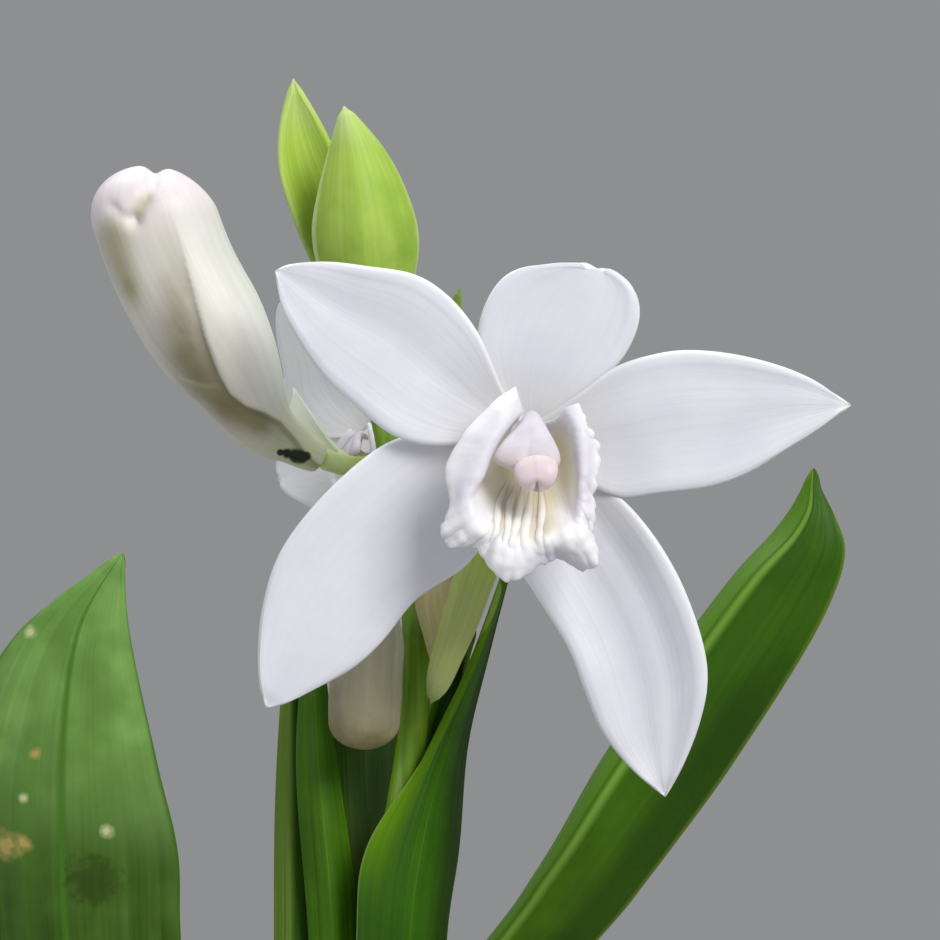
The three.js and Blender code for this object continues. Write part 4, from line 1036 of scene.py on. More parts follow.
def rounded(points, steps=18):
    line = splineThrough([(x, 0, z) for x, z in points])
    return [(point.x, point.z) for point in (line(k / steps) for k in range(steps + 1))]


def onPath(points, widths, x, z):  # 1 on the path, and less with distance beyond its width there
    away, _, share = offPath(points, x, z)
    place = share * (len(widths) - 1)
    k = min(int(place), len(widths) - 2)
    width = blendValue(widths[k], widths[k + 1], place - k)
    return math.exp(-(away / width) ** 2) * smoothstep(-0.05, 0.35, share) * smoothstep(1.05, 0.8, share)


def buildTallBud():
    lines = {key: [seen(*p, tallBud["depth"]) for p in points] for key, points in tallBud.items()
             if isinstance(points, list)}
    lines["overlap"], lines["under"] = rounded(lines["overlap"]), rounded(lines["under"], 12)
    pit = seen(*tallBud["pit"], tallBud["depth"])
    stalk = stem["stalks"]["tall"]
    line = lineThrough(stalk["line"])
    start = stalk["end"] - 0.01
    width, full = budWidth(buds["tall"]), buds["tall"]["width"]

    def lobe(angle, t):  # turns the upper rings level and lifts the tips of two sepals
        rise = 0.25 * smoothstep(0.8, 1.0, t) * (0.5 - math.sin(angle + 0.9) ** 2)
        return (rise - tallBud["tilt"] * smoothstep(0.5, 0.88, t) * math.cos(angle)) * width(angle, t) / full
    plain = sweepSurface(line, width, start=start, flat=tallBud["flat"], lobe=lobe)

    def carved(x, z, facing):
        away = offPath(lines["notch"], x, z)[0]
        depth = tallBud["notchDepth"] * math.exp(-(away / tallBud["notchWidth"]) ** 2)
        away = math.hypot(x - pit[0], z - pit[1])
        depth += facing * tallBud["pitDepth"] * math.exp(-(away / tallBud["pitWidth"]) ** 2)
        away = offPath(lines["crease"], x, z)[0]
        depth += facing * tallBud["creaseDepth"] * math.exp(-(away / tallBud["creaseWidth"]) ** 2)
        away, side, share = offPath(lines["overlap"], x, z)
        past = -side * away
        high, run = tallBud["overlapStep"]
        drop = smoothstep(-0.24, 0.24, past) * math.exp(-max(0.0, past) / run) * smoothstep(0.05, 0.5, share)
        # This edge mask carries painted shade in the crevice along the overlap edge.
        edge = drop * math.exp(-max(0.0, past) / 0.5) * smoothstep(0.3, 0.6, share)
        depth += facing * high * drop
        away, side, share = offPath(lines["under"], x, z)
        past = side * away
        high, run = tallBud["underStep"]
        step = smoothstep(-0.1, 0.1, past) * math.exp(-max(0.0, past) / run) * smoothstep(0.1, 0.5, share)
        depth += facing * high * step * (1 - smoothstep(0.8, 1.0, share))
        return depth, edge

    def surface(angle, t):
        point = plain(angle, t)
        inward = line[0](min(start + (1 - start) * t, 0.88)) - point
        facing = smoothstep(0.0, 0.4, -math.sin(angle))
        return point + inward.normalized() * min(carved(point.x, point.z, facing)[0], 0.8 * inward.length)

    piece = makeTube(surface, *tallBud["grid"], gather=1.5)
    applyModifier(piece, "SMOOTH", factor=0.5, iterations=3)
    lay = piece.data.attributes["lay"].data
    budShadeMasks, stains = [], []
    for corner in piece.data.vertices:
        x, z = corner.co.x / mm, corner.co.z / mm
        facing = smoothstep(-0.1, 0.4, -lay[corner.index].vector.z)
        masks = {key: facing * onPath(lines[key], tallBud[key + "Widths"], x, z)
                 for key in ("shade", "olive", "moss", "stain")}
        away, side, share = offPath(lines["overlap"], x, z)
        past = -side * away
        under = smoothstep(-0.08, 0.12, past)
        # Painted shade under the overlapping sepal, darkest at its edge and fading away from it.
        deep = 0.9 * facing * under * math.exp(-(max(0.0, past) / tallBud["overlapShadeWidth"]) ** 2)
        deep *= smoothstep(-0.05, 0.4, share) * (1 - 0.85 * smoothstep(0.64, 0.82, share))
        budShadeMasks += (max(deep, 0.88 * masks["shade"] * (0.3 + 0.7 * under)), 0.9 * masks["olive"] * under,
                  facing * carved(x, z, 1.0)[1])
        stains += (0.85 * masks["moss"], 0.7 * masks["stain"], 0)
    storeLay(piece, "budShadeMasks", budShadeMasks)
    storeLay(piece, "stains", stains)
    return settle(piece, "tallBud", "tall_bud", tallBudMaterial())


def softMaterial(name, tones, count=16.0, streak=0.4):
    # For stalks, small buds and bracts: tones by place along, lengthwise veins and a paler edge.
    material, tree, shader = newMaterial(name, tones["finish"])
    place, lay = places(tree)
    parts = split(tree, lay)
    if tones.get("round"):
        lay, parts = roundLay(tree, lay)
    veins = veinsOf(tree, lay, count, 0.3, 0.05)
    cloud = patches(tree, place, tones.get("cloudSize", 3.0), 0.35, 0.68)
    layers = [("face", ramp(tree, parts["Y"], 0.05, 0.75)), ("tip", ramp(tree, parts["Y"], 0.72, 1.0)),
              ("cloud", cloud, 0.6), ("vein", veins["Band"], streak), ("vein", veins["Line"], 0.3 * streak)]
    if "edge" in tones:
        layers.append(("edge", ramp(tree, parts["X"], tones["edgeFrom"], tones["edgeFrom"] - 0.06), 0.9))
    if "rim" in tones:
        layers.append(("rim", ramp(tree, parts["X"], 0.9, 0.97), 0.8))
    rough = tones["finish"]["Roughness"]
    dress(tree, shader, coats(tree, tones, "foot", *layers), cloud, (rough - 0.06, rough + 0.08),
          (veins["Band"], 0.25, 0.1), (veins["Line"], 0.15, 0.04), (grain(tree, place, 0.18), 0.15, 0.03))
    return material


leafy = tissue(0.46, 0.18, (0.7, 1.0, 0.25), 0.7, 0.17)
softTones = {
    # The nodding bud's face and tip are painted shade on a pale bud under the flower; its foot is painted
    # light where the left sepal shades it.
    "nodding": {"face": tone(150, 146, 122), "foot": tone(240, 238, 220), "tip": tone(128, 120, 72),
                "cloud": tone(180, 174, 150), "vein": tone(140, 132, 96), "round": True, "cloudSize": 4.0,
                "finish": {**leafy, "Roughness": 0.55}},
    "terminal": {"face": tone(160, 192, 84), "foot": tone(130, 160, 60), "tip": tone(196, 214, 138),
                 "cloud": tone(180, 206, 104), "vein": tone(126, 160, 56), "round": True, "finish": leafy},
    "rightGreen": {"face": tone(166, 200, 82), "foot": tone(126, 160, 54), "tip": tone(206, 222, 160),
                   "cloud": tone(190, 216, 104), "vein": tone(134, 172, 56), "edge": tone(206, 226, 160),
                   "edgeFrom": -0.86, "rim": tone(204, 224, 156), "cloudSize": 4.0, "finish": leafy},
    # The left bract's foot is painted light, lighter than its face, against the shadow of the right bract.
    "leftGreen": {"face": tone(186, 217, 88), "foot": tone(194, 222, 92), "tip": tone(214, 228, 168),
                  "cloud": tone(202, 226, 108), "vein": tone(140, 178, 56), "edge": tone(190, 214, 122),
                  "edgeFrom": -0.9, "cloudSize": 4.0, "finish": leafy},
    "pale": {"face": tone(196, 208, 128), "foot": tone(200, 218, 104), "tip": tone(136, 152, 100),
             "cloud": tone(196, 204, 140), "vein": tone(164, 180, 98), "edge": tone(166, 176, 102),
             "edgeFrom": -0.88, "finish": leafy},
    "tan": {"face": tone(240, 226, 172), "foot": tone(214, 212, 138), "tip": tone(240, 228, 188),
            "cloud": tone(242, 230, 190), "vein": tone(186, 170, 120), "finish": {**leafy, "Roughness": 0.6}},
    "sheathGreen": {"face": tone(226, 229, 222), "foot": tone(190, 208, 140), "tip": tone(230, 232, 228),
                    "cloud": tone(228, 231, 226), "vein": tone(216, 221, 206), "finish": leafy},
    "upper": {"face": tone(110, 146, 40), "foot": tone(96, 138, 26), "tip": tone(112, 136, 66),
              "cloud": tone(122, 150, 56), "vein": tone(106, 144, 34), "finish": leafy},
}


def buildSmallBuds():
    stalk = stem["stalks"]["nodding"]
    width = budWidth(buds["nodding"])

    def wrinkled(angle, t):
        ripple = noise.noise(Vector((1.6 * math.cos(angle), 1.6 * math.sin(angle), 3.5 * t)))
        return width(angle, t) * (1 + 0.05 * ripple)
    line = lineThrough(stalk["line"])
    surface = sweepSurface(line, wrinkled, start=stalk["end"] - 0.01, flat=0.8, up=(0, 1, 0.2))
    settle(makeTube(surface, 110, 120, gather=1.4), "noddingBud", "nodding_bud",
           softMaterial("noddingPaintedShade", softTones["nodding"], 9.0, 0.35))
    surface = sweepSurface(lineThrough(buds["terminal"]["line"]), budWidth(buds["terminal"]))
    settle(makeTube(surface, 72, 90, gather=1.3), "terminalBud", "terminal_bud",
           softMaterial("terminalGreen", softTones["terminal"], 12.0))


buildTallBud()
buildSmallBuds()
print("buds built")

bracts = {
    "rightGreenBract": {
        "node": "right_green_bract", "slot": "green_bract", "look": "rightGreen", "fold": 0.25,
        "left": [(-3, 2.2, 275.5), (-5.4, 1.6, 280), (-6.5, 1.2, 284.7), (-5.9, 0.8, 289), (-4.9, 0.8, 292.6),
                 (-3.6, 1, 296.8)],
        "rib": [(-1.4, 0.8, 275.5), (-1.2, -1.2, 280), (-1.4, -2.4, 284.7), (-1.9, -2, 289),
                (-2.6, -1, 292.8), (-3.6, 1, 296.8)],
        "right": [(0.3, 2.4, 275.5), (2.5, 2.4, 279.5), (3.3, 2, 284.5), (2.1, 1.4, 289), (0, 1, 292.8),
                  (-3.6, 1, 296.8)],
    },
    "leftGreenBract": {
        "node": "left_green_bract", "slot": "green_bract", "look": "leftGreen", "fold": 0.25,
        "left": [(-3.4, 4.4, 275.5), (-5.6, 4.6, 280), (-8.2, 4.6, 286), (-9.7, 4.4, 291), (-9.6, 4.2, 295),
                 (-8.4, 4.4, 299.6)],
        "rib": [(-1.6, 4.9, 275.5), (-2.6, 6.4, 280), (-4.6, 7, 286), (-6.6, 6.6, 291), (-7.8, 5.8, 295),
                (-8.4, 4.4, 299.6)],
        "right": [(0.4, 4.4, 275.5), (0.6, 5.2, 280), (-1.6, 5.8, 286), (-3.8, 5.6, 291), (-5.6, 5.2, 295),
                  (-8.4, 4.4, 299.6)],
    },
    "paleBract": {
        "node": "pale_bract", "slot": "pale_bract", "look": "pale", "fold": 0.3,
        "left": [(6.2, -5.2, 257.5), (7, -6, 255.7), (6.4, -6.4, 252), (5.3, -6.6, 248.1), (4.4, -6.4, 244.4),
                 (4.5, -6, 241.6)],
        "rib": [(7.6, -6.4, 258.5), (8.8, -7.4, 256), (7.8, -7.6, 252), (6.4, -7.6, 247.6), (5.1, -7, 244),
                (4.5, -6, 241.6)],
        "right": [(9, -6.2, 258.5), (10.7, -6.4, 255.2), (9.5, -6.6, 250.7), (7.3, -6.8, 245.6),
                  (5.9, -6.4, 242.8), (4.5, -6, 241.6)],
    },
    "stemBract": {
        "node": "stem_bract", "slot": "old_bud", "look": "tan", "fold": 0,
        "left": [(4.6, -1.8, 244.8), (3.9, -2.5, 247.5), (3.1, -2.9, 250.8), (3.2, -3.2, 253.4)],
        "rib": [(5.1, -1.6, 244.8), (5.3, -2.6, 247.5), (4.9, -3.4, 250.8), (4.9, -4, 253.4)],
        "right": [(5.6, -1.2, 244.8), (6.3, -1.6, 247.5), (6.7, -2.6, 251), (6.4, -3.9, 253.4)],
    },
    "tallBudBract": {
        "node": "tall_bud_bract", "slot": "pale_bract", "look": "sheathGreen", "fold": 0,
        "left": [(-3.2, 0.4, 262.9), (-6.4, -1.0, 264.4), (-8.8, -1.6, 267.6), (-8.2, -1.8, 270.7)],
        "rib": [(-2.9, 0.9, 263.3), (-5.5, -0.2, 265.2), (-7.6, -1.2, 268), (-8.2, -1.8, 270.7)],
        "right": [(-2.4, 0.9, 263.7), (-4.4, 0, 265.3), (-6.4, -1, 268.1), (-8.2, -1.8, 270.7)],
    },
    "upperBract": {
        "node": "upper_bract", "slot": "green_bract", "look": "upper", "fold": 0.2,
        "left": [(0.9, 3.6, 262.5), (2.2, 5, 268), (5, 6, 275), (7.2, 6, 280.2)],
        "rib": [(2.3, 3.6, 262.5), (4, 4.4, 268), (6.2, 5.4, 275), (7.2, 6, 280.2)],
        "right": [(3.2, 2.4, 262.5), (5.6, 3.8, 268), (7.2, 5.4, 275), (7.2, 6, 280.2)],
    },
}


def buildBracts():
    for name, form in bracts.items():
        piece = makeBlade(bladeSurface({"end": 0.996, **form}), 40, 80, bladeThickness["bract"], border=0.14,
                          pinch=0.3)
        material = softMaterial(name + "Green", softTones[form["look"]], 7.0, 0.35)
        settle(piece, name, form["node"], material)


buildBracts()
print("bracts built")

# Leaves. Each station is an edge, the rib and the other edge. A leaf's foot is half a sheath round the stem.
leaves = {
    "leftBroadLeaf": {
        "node": "left_broad_leaf", "side": -1, "radius": 6.6, "fold": 0.2, "wave": 0.5, "pleats": (7, 0.16),
        "stations": [
            ((-9, -6.5, 150), (-15, -3.5, 151), (-19, 1.5, 152)),
            ((-14.5, -8, 184), (-23, -7, 186), (-30, -2.5, 188)),
            ((-18.3, -6.5, 220), (-28.5, -8, 220), (-38, -4.5, 220)),
            ((-18.6, -6.3, 228), (-28.9, -8, 228), (-39, -4.5, 228)),
            ((-20.5, -6, 236), (-29, -8, 237), (-39, -4.5, 236)),
            ((-23.2, -6, 249), (-27.5, -7.4, 248.5), (-34, -5, 247.2)), ((-23.6, -5.6, 255.6),) * 3,
        ],
    },
    "rightStrapLeaf": {
        "node": "right_strap_leaf", "side": 1, "radius": 5.8, "fold": 0.6, "wave": 0, "pleats": (5, 0.1),
        "stations": [
            ((3.6, -5.8, 136), (8, -1.8, 136), (5.4, 5.8, 136)),
            ((7.2, -3.4, 160), (9.7, -2.2, 160), (12, 4.6, 160)),
            ((7, 3.4, 190), (8.6, 1, 190), (14.6, 5, 190)),
            ((5.6, 7.8, 211), (6.8, 4.4, 211), (14.8, 6.2, 211)),
            ((13.2, 7.6, 223), (14.2, 4, 223), (23.4, 6, 223)),
            ((16.2, 7.6, 227.8), (17.4, 4, 227.6), (26.9, 6, 227.6)),
            ((21.3, 7.6, 236.7), (22.4, 4, 235.4), (32.6, 6, 235.4)),
            ((33.1, 7.6, 253.1), (34.5, 4, 252.4), (41.6, 5, 250.3)),
            ((36.6, 7.2, 257), (38.4, 4.4, 256.6), (43.1, 4.6, 255.6)),
            ((38.3, 6.9, 259.3), (39.8, 4.8, 259), (42.2, 5, 258.6)),
            ((39.6, 6.6, 261.6), (40.2, 5.8, 261.5), (40.9, 5.8, 261.3)), ((40.3, 6.4, 263.4),) * 3,
        ],
    },
    "bigFoldedLeaf": {
        "node": "big_folded_leaf", "side": 1, "radius": 4.2, "fold": 0.1, "wave": 0, "pleats": (5, 0.1),
        "stations": [
            ((-2.4, -4.4, 168), (3.4, -4, 168), (4.8, 3.2, 168)),
            ((-2.3, -3.8, 219.7), (2.4, -4.4, 219.7), (5.8, 2.4, 219.3)),
            ((-1.5, -3.4, 228), (3.4, -3.8, 228), (7, 2.4, 228)),
            ((3.5, -2.6, 236), (5.6, -2.2, 237), (7.8, 2.4, 237.6)),
            ((7.8, -1.2, 244), (8.6, -0.4, 245), (9.7, 2, 246)), ((11.8, 1, 254.6),) * 3,
        ],
    },
    "foldedLeafWing": {
        "node": "big_folded_leaf", "side": 1, "radius": 3.5, "fold": 0.1, "wave": 0, "look": "bigFoldedLeaf",
        "stations": [
            ((0.5, -1.4, 190), (2.8, 2, 190), (4.6, 3.4, 190)),
            ((1.5, 2.4, 222), (3.6, 3.2, 222), (6, 3, 222)), ((3.2, 2.6, 236), (5, 3.2, 237), (7, 2.9, 238)),
            ((5.2, 2.4, 243.6), (6.6, 2.9, 245), (8, 2.5, 246)), ((8.7, 2.3, 248.6),) * 3,
        ],
    },
    "secondLeaf": {
        "node": "second_leaf", "side": -1, "radius": 3.4, "fold": 0.3, "wave": 0, "pleats": (4, 0.06),
        "stations": [
            ((-1.6, -3.2, 150), (-4.2, -1, 150), (-2.8, 3.2, 150)),
            ((-3.6, -2.2, 180), (-5, -0.8, 180), (-5, 2.6, 180)),
            ((-2.4, 1.8, 219.7), (-4.6, 0.2, 219.7), (-6.8, 2.2, 219.7)),
            ((-4.4, 2, 236.7), (-6, 0.8, 237), (-7.9, 2.2, 237)), ((-6.6, 2.2, 251.5),) * 3,
        ],
    },
    "farLeftLeaf": {
        "node": "far_left_leaf", "side": -1, "radius": 5, "fold": 0.5, "wave": 0, "pleats": (4, 0.06),
        "stations": [
            ((-6, -2.6, 168), (-7.2, 0.6, 168), (-5.6, 4.4, 168)),
            ((-6.4, 2.8, 195), (-8.3, 2.3, 195), (-9.2, 4.8, 195)),
            ((-5.8, 5.4, 219.3), (-8, 3.7, 219.3), (-10.1, 5.4, 219.3)),
            ((-6.9, 5.6, 238), (-8.2, 4.4, 238), (-9.8, 5.4, 238)), ((-8.4, 5, 250.5),) * 3,
        ],
    },
    "shortLeaf": {
        "node": "short_leaf", "side": 1, "radius": 2.8, "fold": 0.2, "wave": 0, "pleats": (4, 0.06),
        "stations": [
            ((3, -0.4, 168), (2.4, 2.6, 168), (-1.2, 3.4, 168)),
            ((2.1, 3.3, 219), (-0.6, 4.4, 219), (-3.7, 3.6, 219)),
            ((1.5, 3.8, 236), (-1.6, 4.8, 236), (-4.8, 3.8, 236)),
            ((1.4, 4, 243), (-1.6, 4.7, 243), (-4.6, 4, 243)), ((-1.8, 4.4, 252),) * 3,
        ],
    },
}
sheath = {"foot": 95, "top": 118, "seam": 0.4, "pale": (125, 94), "tone": tone(168, 170, 112)}
leafTones = {
    # Painted light and shade by height: darker at the foot and lighter towards the top.
    "leftBroadLeaf": {"low": tone(42, 70, 0), "high": tone(126, 170, 88), "vein": tone(104, 146, 62),
                      "rib": tone(66, 112, 28), "cloud": tone(70, 110, 36), "span": (225, 239)},
    "rightStrapLeaf": {"low": tone(78, 120, 0), "high": tone(54, 98, 4), "vein": tone(80, 122, 26),
                       "rib": tone(122, 166, 62), "cloud": tone(36, 76, 0), "span": (218, 238),
                       "edge": tone(112, 140, 40), "ribWidth": 0.11,
                       # Painted light on the left strip and painted shade on the right half.
                       "bands": [(tone(92, 138, 34), (-0.05, -0.2), (120, 130)),
                                 (tone(34, 66, 0), (0.35, 0.7), (250, 238))]},
    "bigFoldedLeaf": {"low": tone(48, 96, 2), "high": tone(64, 114, 6), "vein": tone(72, 120, 20),
                      "rib": tone(60, 108, 10), "cloud": tone(32, 72, 0), "span": (215, 254),
                      # A painted highlight along the margins, over a paler margin.
                      "edge": tone(160, 192, 96),
                      # Painted light on the left wing and painted shade on the right half.
                      "bands": [(tone(104, 150, 2), (-0.35, -0.8), (222, 233)),
                                (tone(30, 58, 0), (0.3, 0.7), (120, 130))]},
    "secondLeaf": {"low": tone(84, 134, 10), "high": tone(84, 132, 26), "vein": tone(104, 150, 44),
                   "rib": tone(92, 140, 30), "cloud": tone(46, 92, 0), "span": (215, 250)},
    "farLeftLeaf": {"low": tone(50, 92, 2), "high": tone(52, 94, 6), "vein": tone(76, 114, 30),
                    "rib": tone(58, 98, 12),
                    "cloud": tone(36, 72, 0), "span": (215, 250),
                    # Painted light on the half that faces the light; the darker tones stay on the shaded
                    # half.
                    "bands": [(tone(132, 166, 66), (0.0, 0.3), (120, 130))]},
    "shortLeaf": {"low": tone(92, 122, 58), "high": tone(66, 104, 30), "vein": tone(104, 132, 70),
                  "rib": tone(90, 120, 58), "cloud": tone(44, 84, 14), "span": (215, 248)},
}
leafMarks = {
    "pale": tone(206, 210, 160), "tan": tone(186, 164, 96), "dark": tone(40, 56, 4),
    "leftBroadLeaf": [((-32.1, 0, 248.2), 0.36, "pale"), ((-31.5, 0, 237.2), 0.34, "tan"),
                      ((-32.6, 0, 233.1), 0.3, "pale"), ((-25, 0, 230.1), 0.4, "pale"),
                      ((-34.2, 0, 228.8), 0.85, "tan"), ((-32.6, 0, 228.9), 0.5, "tan"),
                      ((-26.2, 0, 225.6), 0.0, "dark")],
}


def leafMaterial(name):
    tones = leafTones[name]
    material, tree, shader = newMaterial(name + "Green", leafy)
    place, lay = places(tree)
    side, high = split(tree, lay)["X"], split(tree, place)["Z"]
    rise = lambda edges: ramp(tree, high, *(edge * mm for edge in edges))
    broad = veinsOf(tree, lay, 3.5, 0.4, 0.2)["Band"]
    veins = veinsOf(tree, lay, 13.0, 0.35, 0.04)
    border = useGroup(tree, borderGroup, lay, 0.06, tones.get("ribWidth", 0.07), 0.05, 0.03)
    cloud = patches(tree, place, 8.0, 0.38, 0.66)
    # Low to high runs by height; on the left broad leaf this is painted shade at the foot and painted light
    # at the top.
    colour = coats(tree, tones, "low", ("high", rise(tones["span"])), ("cloud", cloud, 0.55),
                   ("cloud", broad, 0.4), ("vein", veins["Band"], 0.14), ("cloud", veins["Line"], 0.06))
    # Bands are painted light and shade on the halves of folded leaves: lighter where a half faces the light,
    # darker where it lies in shade.
    for shade, across, edges in tones.get("bands", []):
        colour = cover(tree, colour, shade, times(tree, ramp(tree, side, *across), rise(edges)), 0.85)
    colour = cover(tree, colour, tones["rib"], border["Rib"], 0.85)
    # On the big folded leaf the edge layer is a paler margin with a painted highlight.
    colour = cover(tree, colour, tones.get("edge", tones["rib"]), border["Edge"], 0.7)
    flat = stretch(tree, place, (1.0, 0.0, 1.0))
    for at, radius, kind in leafMarks.get(name, []):
        size, torn, soft = (radius, 2.0, 0.4) if radius else (1.4, 3.0, 0.6)
        spot = markAt(tree, flat, at, size, torn)
        colour = cover(tree, colour, leafMarks[kind], spot["Halo"], soft)
        if radius:
            colour = cover(tree, colour, leafMarks[kind], spot["Core"], 0.6)
    colour = cover(tree, colour, sheath["tone"], rise(sheath["pale"]))
    dress(tree, shader, colour, veins["Band"], (0.42, 0.54), (broad, 0.3, 0.5), (veins["Band"], 0.18, 0.12),
          (veins["Line"], 0.12, 0.05), (grain(tree, place, 0.24), 0.1, 0.03))
    return material


def buildLeaves():
    foot, top = sheath["foot"], sheath["top"]
    for name, form in leaves.items():
        side, radius = form["side"], form["radius"]
        seam = sheath["seam"] * side
        levels = (foot, (foot + top) / 2, top)
        rings = [((seam, -radius, z), (side * radius, 0, z), (seam, radius, z)) for z in levels]
        rows = [*rings, *form["stations"]]
        rails = {key: [row[k] for row in rows] for k, key in enumerate(("left", "rib", "right"))}
        surface = bladeSurface({**form, **rails, "gather": 1.7, "end": 0.9985, "ripple": 0.5, "seed": radius})
        piece = makeBlade(surface, 56, 230, bladeThickness["leaf"], rim=0.3, border=0.1)
        settle(piece, name, form["node"], leafMaterial(form.get("look", name)))


buildLeaves()
print("leaves built")

# Corm, soil and pot.
corm = {"radius": 11, "height": 7, "level": 90, "rings": 5, "ringDepth": 0.25, "rough": 0.22}
cormTones = {"face": tone(176, 164, 108), "ring": tone(112, 88, 50), "cloud": tone(146, 150, 84),
             "finish": {"Roughness": 0.75, "Specular IOR Level": 0.3}}
soil = {"top": 93.4, "mound": 1.0, "rough": 0.55, "inner": 55.2, "rings": 46, "segments": 160,
        "foot": (37, 6.3), "shoulder": 83.3, "sunk": 0.12,
        "bark": {"count": 340, "size": (0.8, 2.6), "flat": 0.45,
                 "tones": (tone(84, 58, 38), tone(46, 32, 22), tone(122, 92, 62))},
        "grit": {"count": 150, "size": (0.5, 1.3), "flat": 0.85,
                 "tones": (tone(214, 210, 200), tone(176, 170, 158), tone(236, 234, 228))}}
soilTones = {"face": tone(62, 45, 32), "dark": tone(32, 23, 17), "fibre": tone(104, 80, 54),
             "finish": {"Roughness": 0.95, "Specular IOR Level": 0.2}}
pot = {
    "height": 105, "baseRadius": 42, "rimRadius": 60, "rimHeight": 22, "rimStep": 3, "wall": 4.5, "floor": 6,
    "holes": 3, "holeRadius": 4.5, "holeRing": 22, "drill": 20, "segments": 144, "bevel": 0.7, "rings": 8,
    "collar": 8,
}
potTones = {"face": tone(184, 108, 76), "deep": tone(150, 82, 56), "pale": tone(206, 142, 110),
            "bloom": tone(222, 208, 192), "fleck": tone(104, 64, 46),
            "finish": {"Roughness": 0.88, "Specular IOR Level": 0.25}}


def turnProfile(profile, segments):
    # Extrudes a filled ring from each (radius, height) to the next. The last face stays as its end.
    clearSelection()
    (radius, height), *rest = profile
    bpy.ops.mesh.primitive_circle_add(vertices=segments, radius=radius * mm, fill_type="NGON")
    piece = bpy.context.object
    bpy.ops.object.mode_set(mode="EDIT")
    bpy.ops.mesh.select_all(action="SELECT")
    bpy.ops.transform.translate(value=(0, 0, height * mm))
    for nextRadius, nextHeight in rest:
        bpy.ops.mesh.extrude_region_move(TRANSFORM_OT_translate={"value": (0, 0, (nextHeight - height) * mm)})
        grow = nextRadius / radius
        bpy.ops.transform.resize(value=(grow, grow, 1), center_override=(0, 0, 0))
        radius, height = nextRadius, nextHeight
    bpy.ops.mesh.select_all(action="SELECT")
    bpy.ops.mesh.normals_make_consistent(inside=False)
    bpy.ops.object.mode_set(mode="OBJECT")
    return piece


def clayMaterial():
    material, tree, shader = newMaterial("firedClay", potTones["finish"])
    place, _ = places(tree)
    high = split(tree, place)["Z"]
    cloud, salt = patches(tree, place, 30.0, 0.35, 0.68), patches(tree, place, 15.0, 0.42, 0.8)
    fleck = patches(tree, place, 1.1, 0.68, 0.76)
    bands = compute(tree, "ADD", ramp(tree, high, 0.082, 0.06, 0.0, 0.6),
                    ramp(tree, high, 0.012, 0.0, 0.0, 0.7))
    bloom = times(tree, salt, compute(tree, "ADD", bands, ramp(tree, high, 0.098, 0.105, 0.1, 0.8)))
    colour = coats(tree, potTones, "face", ("deep", cloud), ("pale", salt, 0.4), ("bloom", bloom, 0.6),
                   ("fleck", fleck, 0.6))
    rings = patches(tree, stretch(tree, place, (0.04, 0.04, 1.0)), 3.0, 0.3, 0.7)
    sand = addNode(tree, "TexNoise", {"Vector": place, "Scale": 1500.0, "Detail": 4.0}).outputs["Fac"]
    dress(tree, shader, colour, salt, (0.8, 0.95), (rings, 0.35, 0.35), (sand, 0.4, 0.15), (fleck, 0.3, 0.2))
    return material


def buildPot():
    shoulder = pot["height"] - pot["rimHeight"]
    inner = pot["rimRadius"] - pot["wall"]
    base, rim, top = pot["baseRadius"], pot["rimRadius"], pot["height"]
    rings = pot["rings"]
    outer = [(base, 0)]
    for k in range(1, rings + 1):
        outer.append((base + (rim - pot["rimStep"] - base) * k / rings, shoulder * k / rings))
    profile = [*outer, (rim, shoulder), (rim, shoulder + pot["collar"]), (rim, top), (inner, top),
               (inner, shoulder), (base - pot["wall"], pot["floor"])]
    body = turnProfile(profile, pot["segments"])
    applyModifier(body, "BEVEL", width=pot["bevel"] * mm, segments=3, limit_method="ANGLE",
                  angle_limit=math.radians(25))
    for k in range(pot["holes"]):
        angle = 2 * math.pi * k / pot["holes"]
        at = (pot["holeRing"] * math.cos(angle) * mm, pot["holeRing"] * math.sin(angle) * mm, 4 * mm)
        clearSelection()
        bpy.ops.mesh.primitive_cylinder_add(vertices=40, radius=pot["holeRadius"] * mm,
                                            depth=pot["drill"] * mm, location=at)
        drill = bpy.context.object
        clearSelection()
        body.select_set(True)
        bpy.context.view_layer.objects.active = body
        applyModifier(body, "BOOLEAN", object=drill, operation="DIFFERENCE", solver="EXACT")
        bpy.data.objects.remove(drill, do_unlink=True)
    bpy.ops.object.shade_smooth_by_angle(angle=math.radians(32))
    return settle(body, "clayPot", "pot", clayMaterial())


def crumbMaterial(name, tones, finish):
    material, tree, shader = newMaterial(name, finish)
    place, _ = places(tree)
    cloud, fine = patches(tree, place, 2.2, 0.4, 0.6), patches(tree, place, 0.6, 0.5, 0.7)
    colour = coats(tree, tones, 0, (1, cloud), (2, fine, 0.7))
    dress(tree, shader, colour, cloud, None, (fine, 0.6, 0.25), (grain(tree, place, 0.5), 0.4, 0.12))
    return material


def soilHeight(x, y):
    far = math.hypot(x, y)
    fine = 0.5 * noise.noise(Vector((0.55 * x, 0.55 * y, 4.2)))
    lumps = noise.noise(Vector((0.16 * x, 0.16 * y, 1.7))) + fine
    return soil["top"] + soil["mound"] * (1 - (far / soil["inner"]) ** 2) + soil["rough"] * lumps


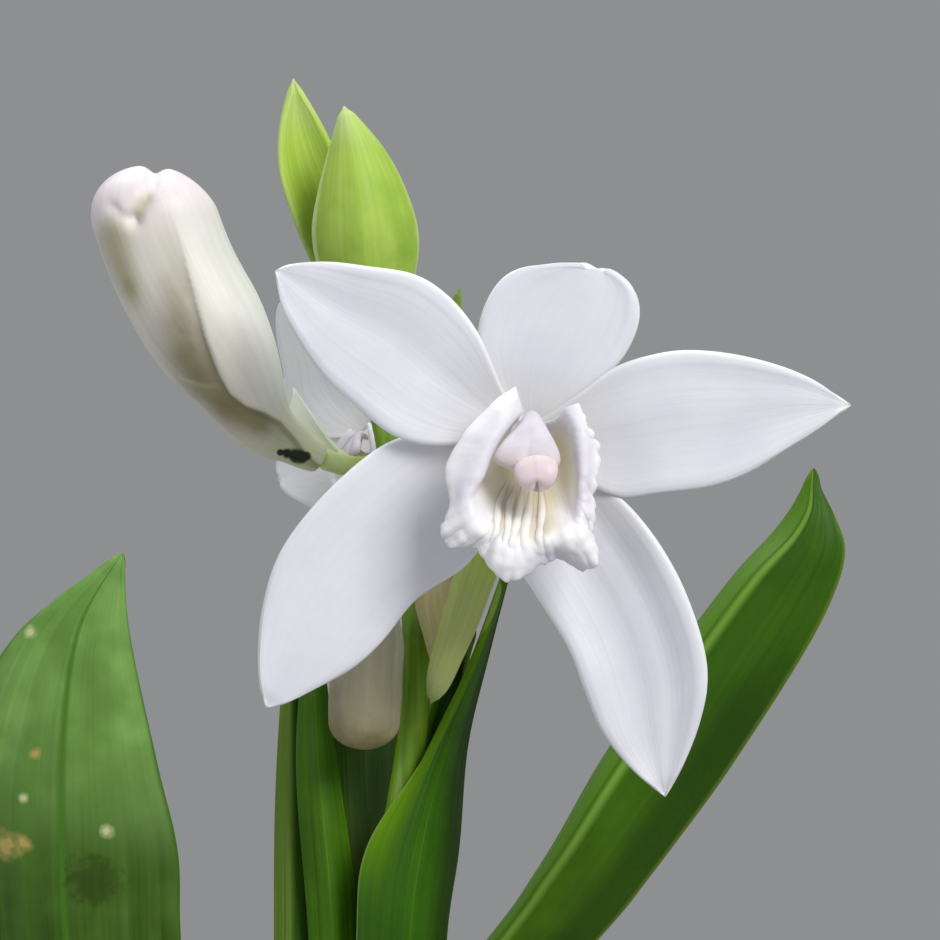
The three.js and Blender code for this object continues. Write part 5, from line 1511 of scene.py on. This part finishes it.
def buildSoil():
    inner, rings = soil["inner"], soil["rings"]
    profile = [soil["foot"], (inner, soil["shoulder"]), (inner, soil["top"] - 1.2)]
    profile += [((inner - 0.6) * (1 - k / rings) + 0.3, soil["top"]) for k in range(rings + 1)]
    bed = turnProfile(profile, soil["segments"])
    for corner in bed.data.vertices:
        if corner.co.z > (soil["top"] - 0.3) * mm:
            corner.co.z = soilHeight(corner.co.x / mm, corner.co.y / mm) * mm
    bpy.ops.object.shade_smooth_by_angle(angle=math.radians(50))
    tones = (soilTones["face"], soilTones["dark"], soilTones["fibre"])
    settle(bed, "soilBed", "soil", crumbMaterial("pottingSoil", tones, soilTones["finish"]))

    dice = random.Random(41)
    for name, kind in (("barkChips", "bark"), ("gritGrains", "grit")):
        rule = soil[kind]
        masters = []
        for k in range(3):
            clearSelection()
            bpy.ops.mesh.primitive_ico_sphere_add(subdivisions=2, radius=1.0)
            crumb = bpy.context.object
            for corner in crumb.data.vertices:
                corner.co *= 1 + 0.45 * noise.noise(corner.co * 1.4 + Vector((7.0 * k, 3.0, 1.0)))
                corner.co.z *= rule["flat"]
            masters.append(crumb)
        crumbs = []
        while len(crumbs) < rule["count"]:
            angle, far = dice.uniform(0, 2 * math.pi), (inner - 3) * dice.random() ** 0.5
            if far < corm["radius"] + 1:
                continue
            x, y = far * math.cos(angle), far * math.sin(angle)
            size = dice.uniform(*rule["size"])
            crumb = masters[len(crumbs) % 3].copy()
            crumb.data = crumb.data.copy()
            bpy.context.collection.objects.link(crumb)
            crumb.location = (x * mm, y * mm, (soilHeight(x, y) + soil["sunk"] * size) * mm)
            crumb.rotation_euler = (dice.uniform(-0.5, 0.5), dice.uniform(-0.5, 0.5), dice.uniform(0, 6.3))
            crumb.scale = [size * mm * dice.uniform(0.7, 1.2) for _ in range(3)]
            crumbs.append(crumb)
        for master in masters:
            bpy.data.objects.remove(master, do_unlink=True)
        heap = joinPieces(crumbs)
        bpy.ops.object.transform_apply(location=True, rotation=True, scale=True)
        bpy.ops.object.shade_smooth_by_angle(angle=math.radians(40))
        settle(heap, name, "soil", crumbMaterial(kind + "Crumbs", rule["tones"], soilTones["finish"]))


def buildCorm():
    clearSelection()
    bpy.ops.mesh.primitive_uv_sphere_add(segments=120, ring_count=72, radius=1.0)
    piece = bpy.context.object
    for corner in piece.data.vertices:
        angle = math.asin(min(max(corner.co.z, -1.0), 1.0))
        wander = 0.08 * math.sin(3 * math.atan2(corner.co.y, corner.co.x))
        ring = abs(math.cos(corm["rings"] * (angle + wander))) ** 12
        lumps = noise.noise(corner.co * 2.2) + 0.4 * noise.noise(corner.co * 7.0)
        grow = 1 + (corm["rough"] * lumps - corm["ringDepth"] * ring - 0.2) / corm["radius"]
        corner.co = Vector((corner.co.x * corm["radius"] * grow, corner.co.y * corm["radius"] * grow,
                            corm["level"] + corner.co.z * corm["height"] * grow)) * mm
    bpy.ops.object.shade_smooth()
    tones = (cormTones["face"], cormTones["cloud"], cormTones["ring"])
    settle(piece, "ringedCorm", "corm", crumbMaterial("cormSkin", tones, cormTones["finish"]))


buildCorm()
buildSoil()
buildPot()
print("pot built")
